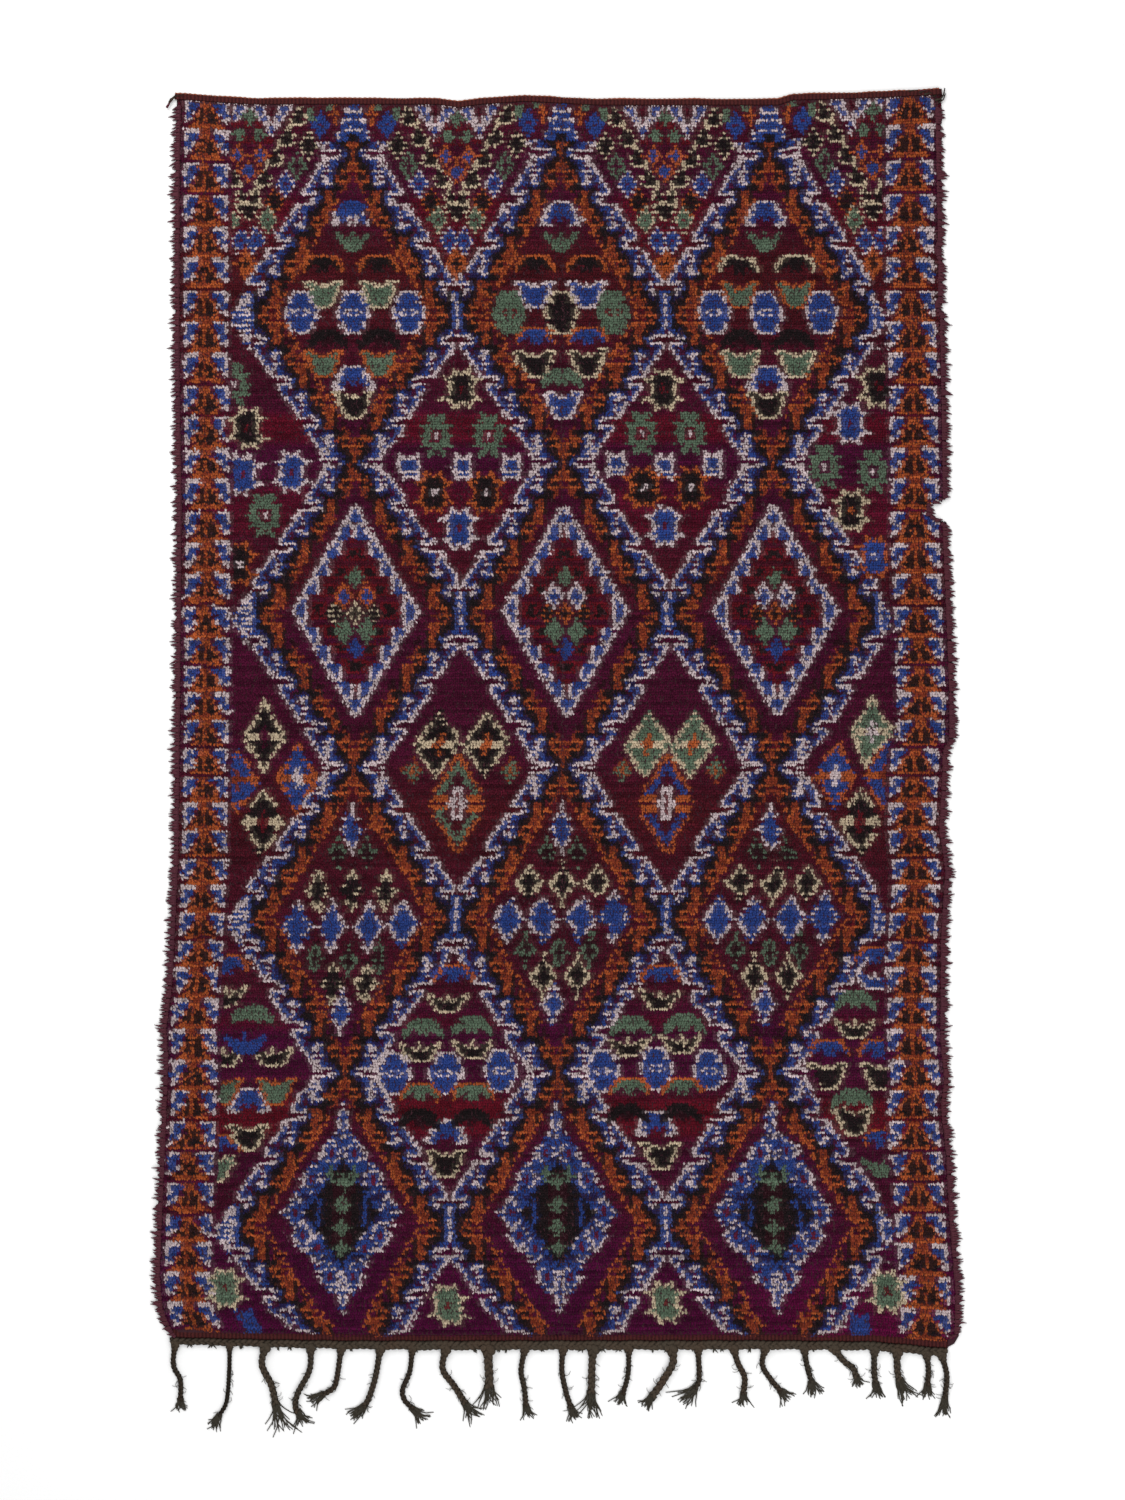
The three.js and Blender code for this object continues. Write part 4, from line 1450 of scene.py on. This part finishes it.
# %% Tassels and brushes
BRUSH_YARNS, LOOSE_HAIRS, WARP_ENDS = 24, 10, 30
BRUSH_YARN, LOOSE_HAIR, WARP_END = 0.0019, 0.0008, 0.0026
PLAIT_STEP = 0.0045
plait_paths, brush_paths = [], []
for x, bends, width, (brush_long, brush_wide) in TASSELS:
    root_x = x * MM
    wide = float(np.interp(root_x, braid_x, braid_wide))
    seam = float(foot_edge(root_x))
    points = [(root_x, seam - wide * 0.5)]
    points += [(root_x + dx * MM, seam - wide + dy * MM) for dx, dy in bends]
    places, way, length_at = smooth_line(np.array(points), PLAIT_STEP)
    flare = 1 + 0.85 * (1 - smooth(length_at / 0.028))
    plait_width = width * MM * flare
    lift = width * MM * 0.36 + 0.0025 * (1 - smooth(length_at / 0.02))
    middle = np.c_[places, lift]
    plait_paths += plait(middle, way, length_at, plait_width, plait_width * 0.8, width * MM * 2.1)

    end, ahead = places[-1], way[-1]
    beside = np.array([-ahead[1], ahead[0]])
    for i in range(BRUSH_YARNS):
        across = (i + 0.5) / BRUSH_YARNS - 0.5 + dice.normal(0, 0.03)
        long = brush_long * MM * (dice.uniform(0.5, 1.0) if i % 4 else dice.uniform(0.8, 1.15))
        bend = dice.normal(0, 0.36) * long
        path = []
        for share in (0, 0.25, 0.5, 0.75, 1.0):
            out = across * (width * 0.95 * (1 - share) + brush_wide * 1.1 * share) * MM + bend * share ** 2
            out += 0.0022 * math.sin(share * 7 + i * 2.4) * share
            spot = end + ahead * (long * share - 0.006 * (1 - share)) + beside * out
            up = width * MM * 0.3 * (1 - share) ** 1.2 * dice.uniform(0.5, 1.3) + 0.0018
            path.append((*spot, up, BRUSH_YARN * (1 - 0.5 * share)))
        brush_paths.append(path)

    # Loose hairs stand off the plait, more of them towards the brush, and a few curl back.
    for _ in range(LOOSE_HAIRS):
        share = dice.uniform(0.1, 1) ** 0.5
        i = min(int(share * len(places)), len(places) - 1)
        sign = dice.choice([-1, 1])
        side_way = np.array([-way[i][1], way[i][0]]) * sign
        start = places[i] + side_way * plait_width[i] * 0.4
        long, curl = dice.uniform(0.006, 0.017), dice.normal(0, 0.9)
        path = []
        for step in (0, 0.35, 0.7, 1.0):
            angle = 0.9 + curl * step
            reach = side_way * math.sin(angle) + way[i] * math.cos(angle)
            spot = start + reach * long * step
            up = max(lift[i] * (1 - step) * 0.9, 0.0006) + 0.0008
            path.append((*spot, up, LOOSE_HAIR * (1 - 0.5 * step)))
        brush_paths.append(path)
tassels = yarns("plaited_tassels", plait_paths, dark_wool)

# Short ends of the warp are knotted off under the braid between the tassels.
for x in dice.uniform(-0.9, 0.92, WARP_ENDS):
    low = float(foot_edge(x)) - float(np.interp(x, braid_x, braid_wide))
    for _ in range(3):
        lean, long = dice.normal(0, 0.004), dice.uniform(0.001, 0.005)
        brush_paths.append([
            (x + lean * share, low + 0.006 - (long + 0.006) * share, 0.0045, WARP_END - 0.002 * share)
            for share in (0, 0.5, 1)])
brushes = yarns("tassel_brushes", brush_paths, frayed_wool, sides=0)
print("tassels:", len(TASSELS), "faces:", len(tassels.data.polygons), len(brushes.data.polygons))

# %% [markdown]
# ## Frayed corners
# At the head the last warps have come loose at both corners. On the right two yarns of the selvedge and
# one of the edge stick up, and on the left a dark knot is left. They are a few more tapering tubes.

# %% Corner yarns
# Each yarn as its places in millimetres and its radius at the root.
DARK_ENDS = [
    ([(906, 1494), (918, 1497), (927, 1507), (930, 1524)], 3.2),
    ([(914, 1488), (926, 1496), (932, 1511)], 2.4), ([(880, 1508), (896, 1512), (905, 1505)], 3.0),
    ([(868, 1512), (884, 1518), (896, 1512)], 2.2),
    ([(902, 1502), (911, 1510), (913, 1518)], 1.8), ([(842, 1516), (862, 1519), (878, 1514)], 1.8),
    ([(-930, 1494), (-920, 1504), (-905, 1506)], 3.4), ([(-934, 1488), (-930, 1498), (-918, 1500)], 2.8),
    ([(-906, 1504), (-900, 1510), (-896, 1506)], 1.6), ([(-832, 1502), (-832, 1508)], 1.6),
]
WINE_ENDS = [([(868, 1517), (886, 1519), (899, 1522), (912, 1525)], 1.5), ([(896, 1500), (908, 1497)], 2.5),
             ([(-940, 1476), (-932, 1490), (-926, 1496)], 3.2)]


def ends(name, table, finish):
    paths = []
    for places, radius in table:
        share = np.linspace(0, 1, len(places))
        thick = radius * MM * (1 - 0.6 * share)
        paths.append(np.c_[np.array(places) * MM, 0.0045 + 0.002 * (1 - share) + thick, thick])
    return yarns(name, paths, finish, sides=0)


dark_ends = ends("dark_corner_yarns", DARK_ENDS, dark_wool)
wine_ends = ends("wine_corner_yarns", WINE_ENDS, selvedge_wool)
print("loose yarns at the corners:", len(DARK_ENDS) + len(WINE_ENDS))

# %% [markdown]
# ## Declaring the pieces
# The frame wants to know what each piece is: all of them lie with the rug, the cloth stands for the
# packed cloth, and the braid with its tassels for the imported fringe. The cloth is a sheet that was
# woven to its size and is simply laid down.

# %% Declarations
cloth_pieces = [*pile_bands, head_band, foot_band, head_cord, left_locks, right_locks, dark_ends, wine_ends]
fringe_pieces = [braid, tassels, brushes]
for piece in [ground, *cloth_pieces]:
    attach(piece, "root")
for piece in fringe_pieces:
    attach(piece, "root")
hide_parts("rug_cloth")
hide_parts("braid_and_tassels")

triangles = 0
for piece in [ground, *cloth_pieces, *fringe_pieces]:
    piece.data.calc_loop_triangles()
    triangles += len(piece.data.loop_triangles)
    print(f"{piece.name}: {len(piece.data.loop_triangles)} triangles")
print("triangles in all:", triangles)
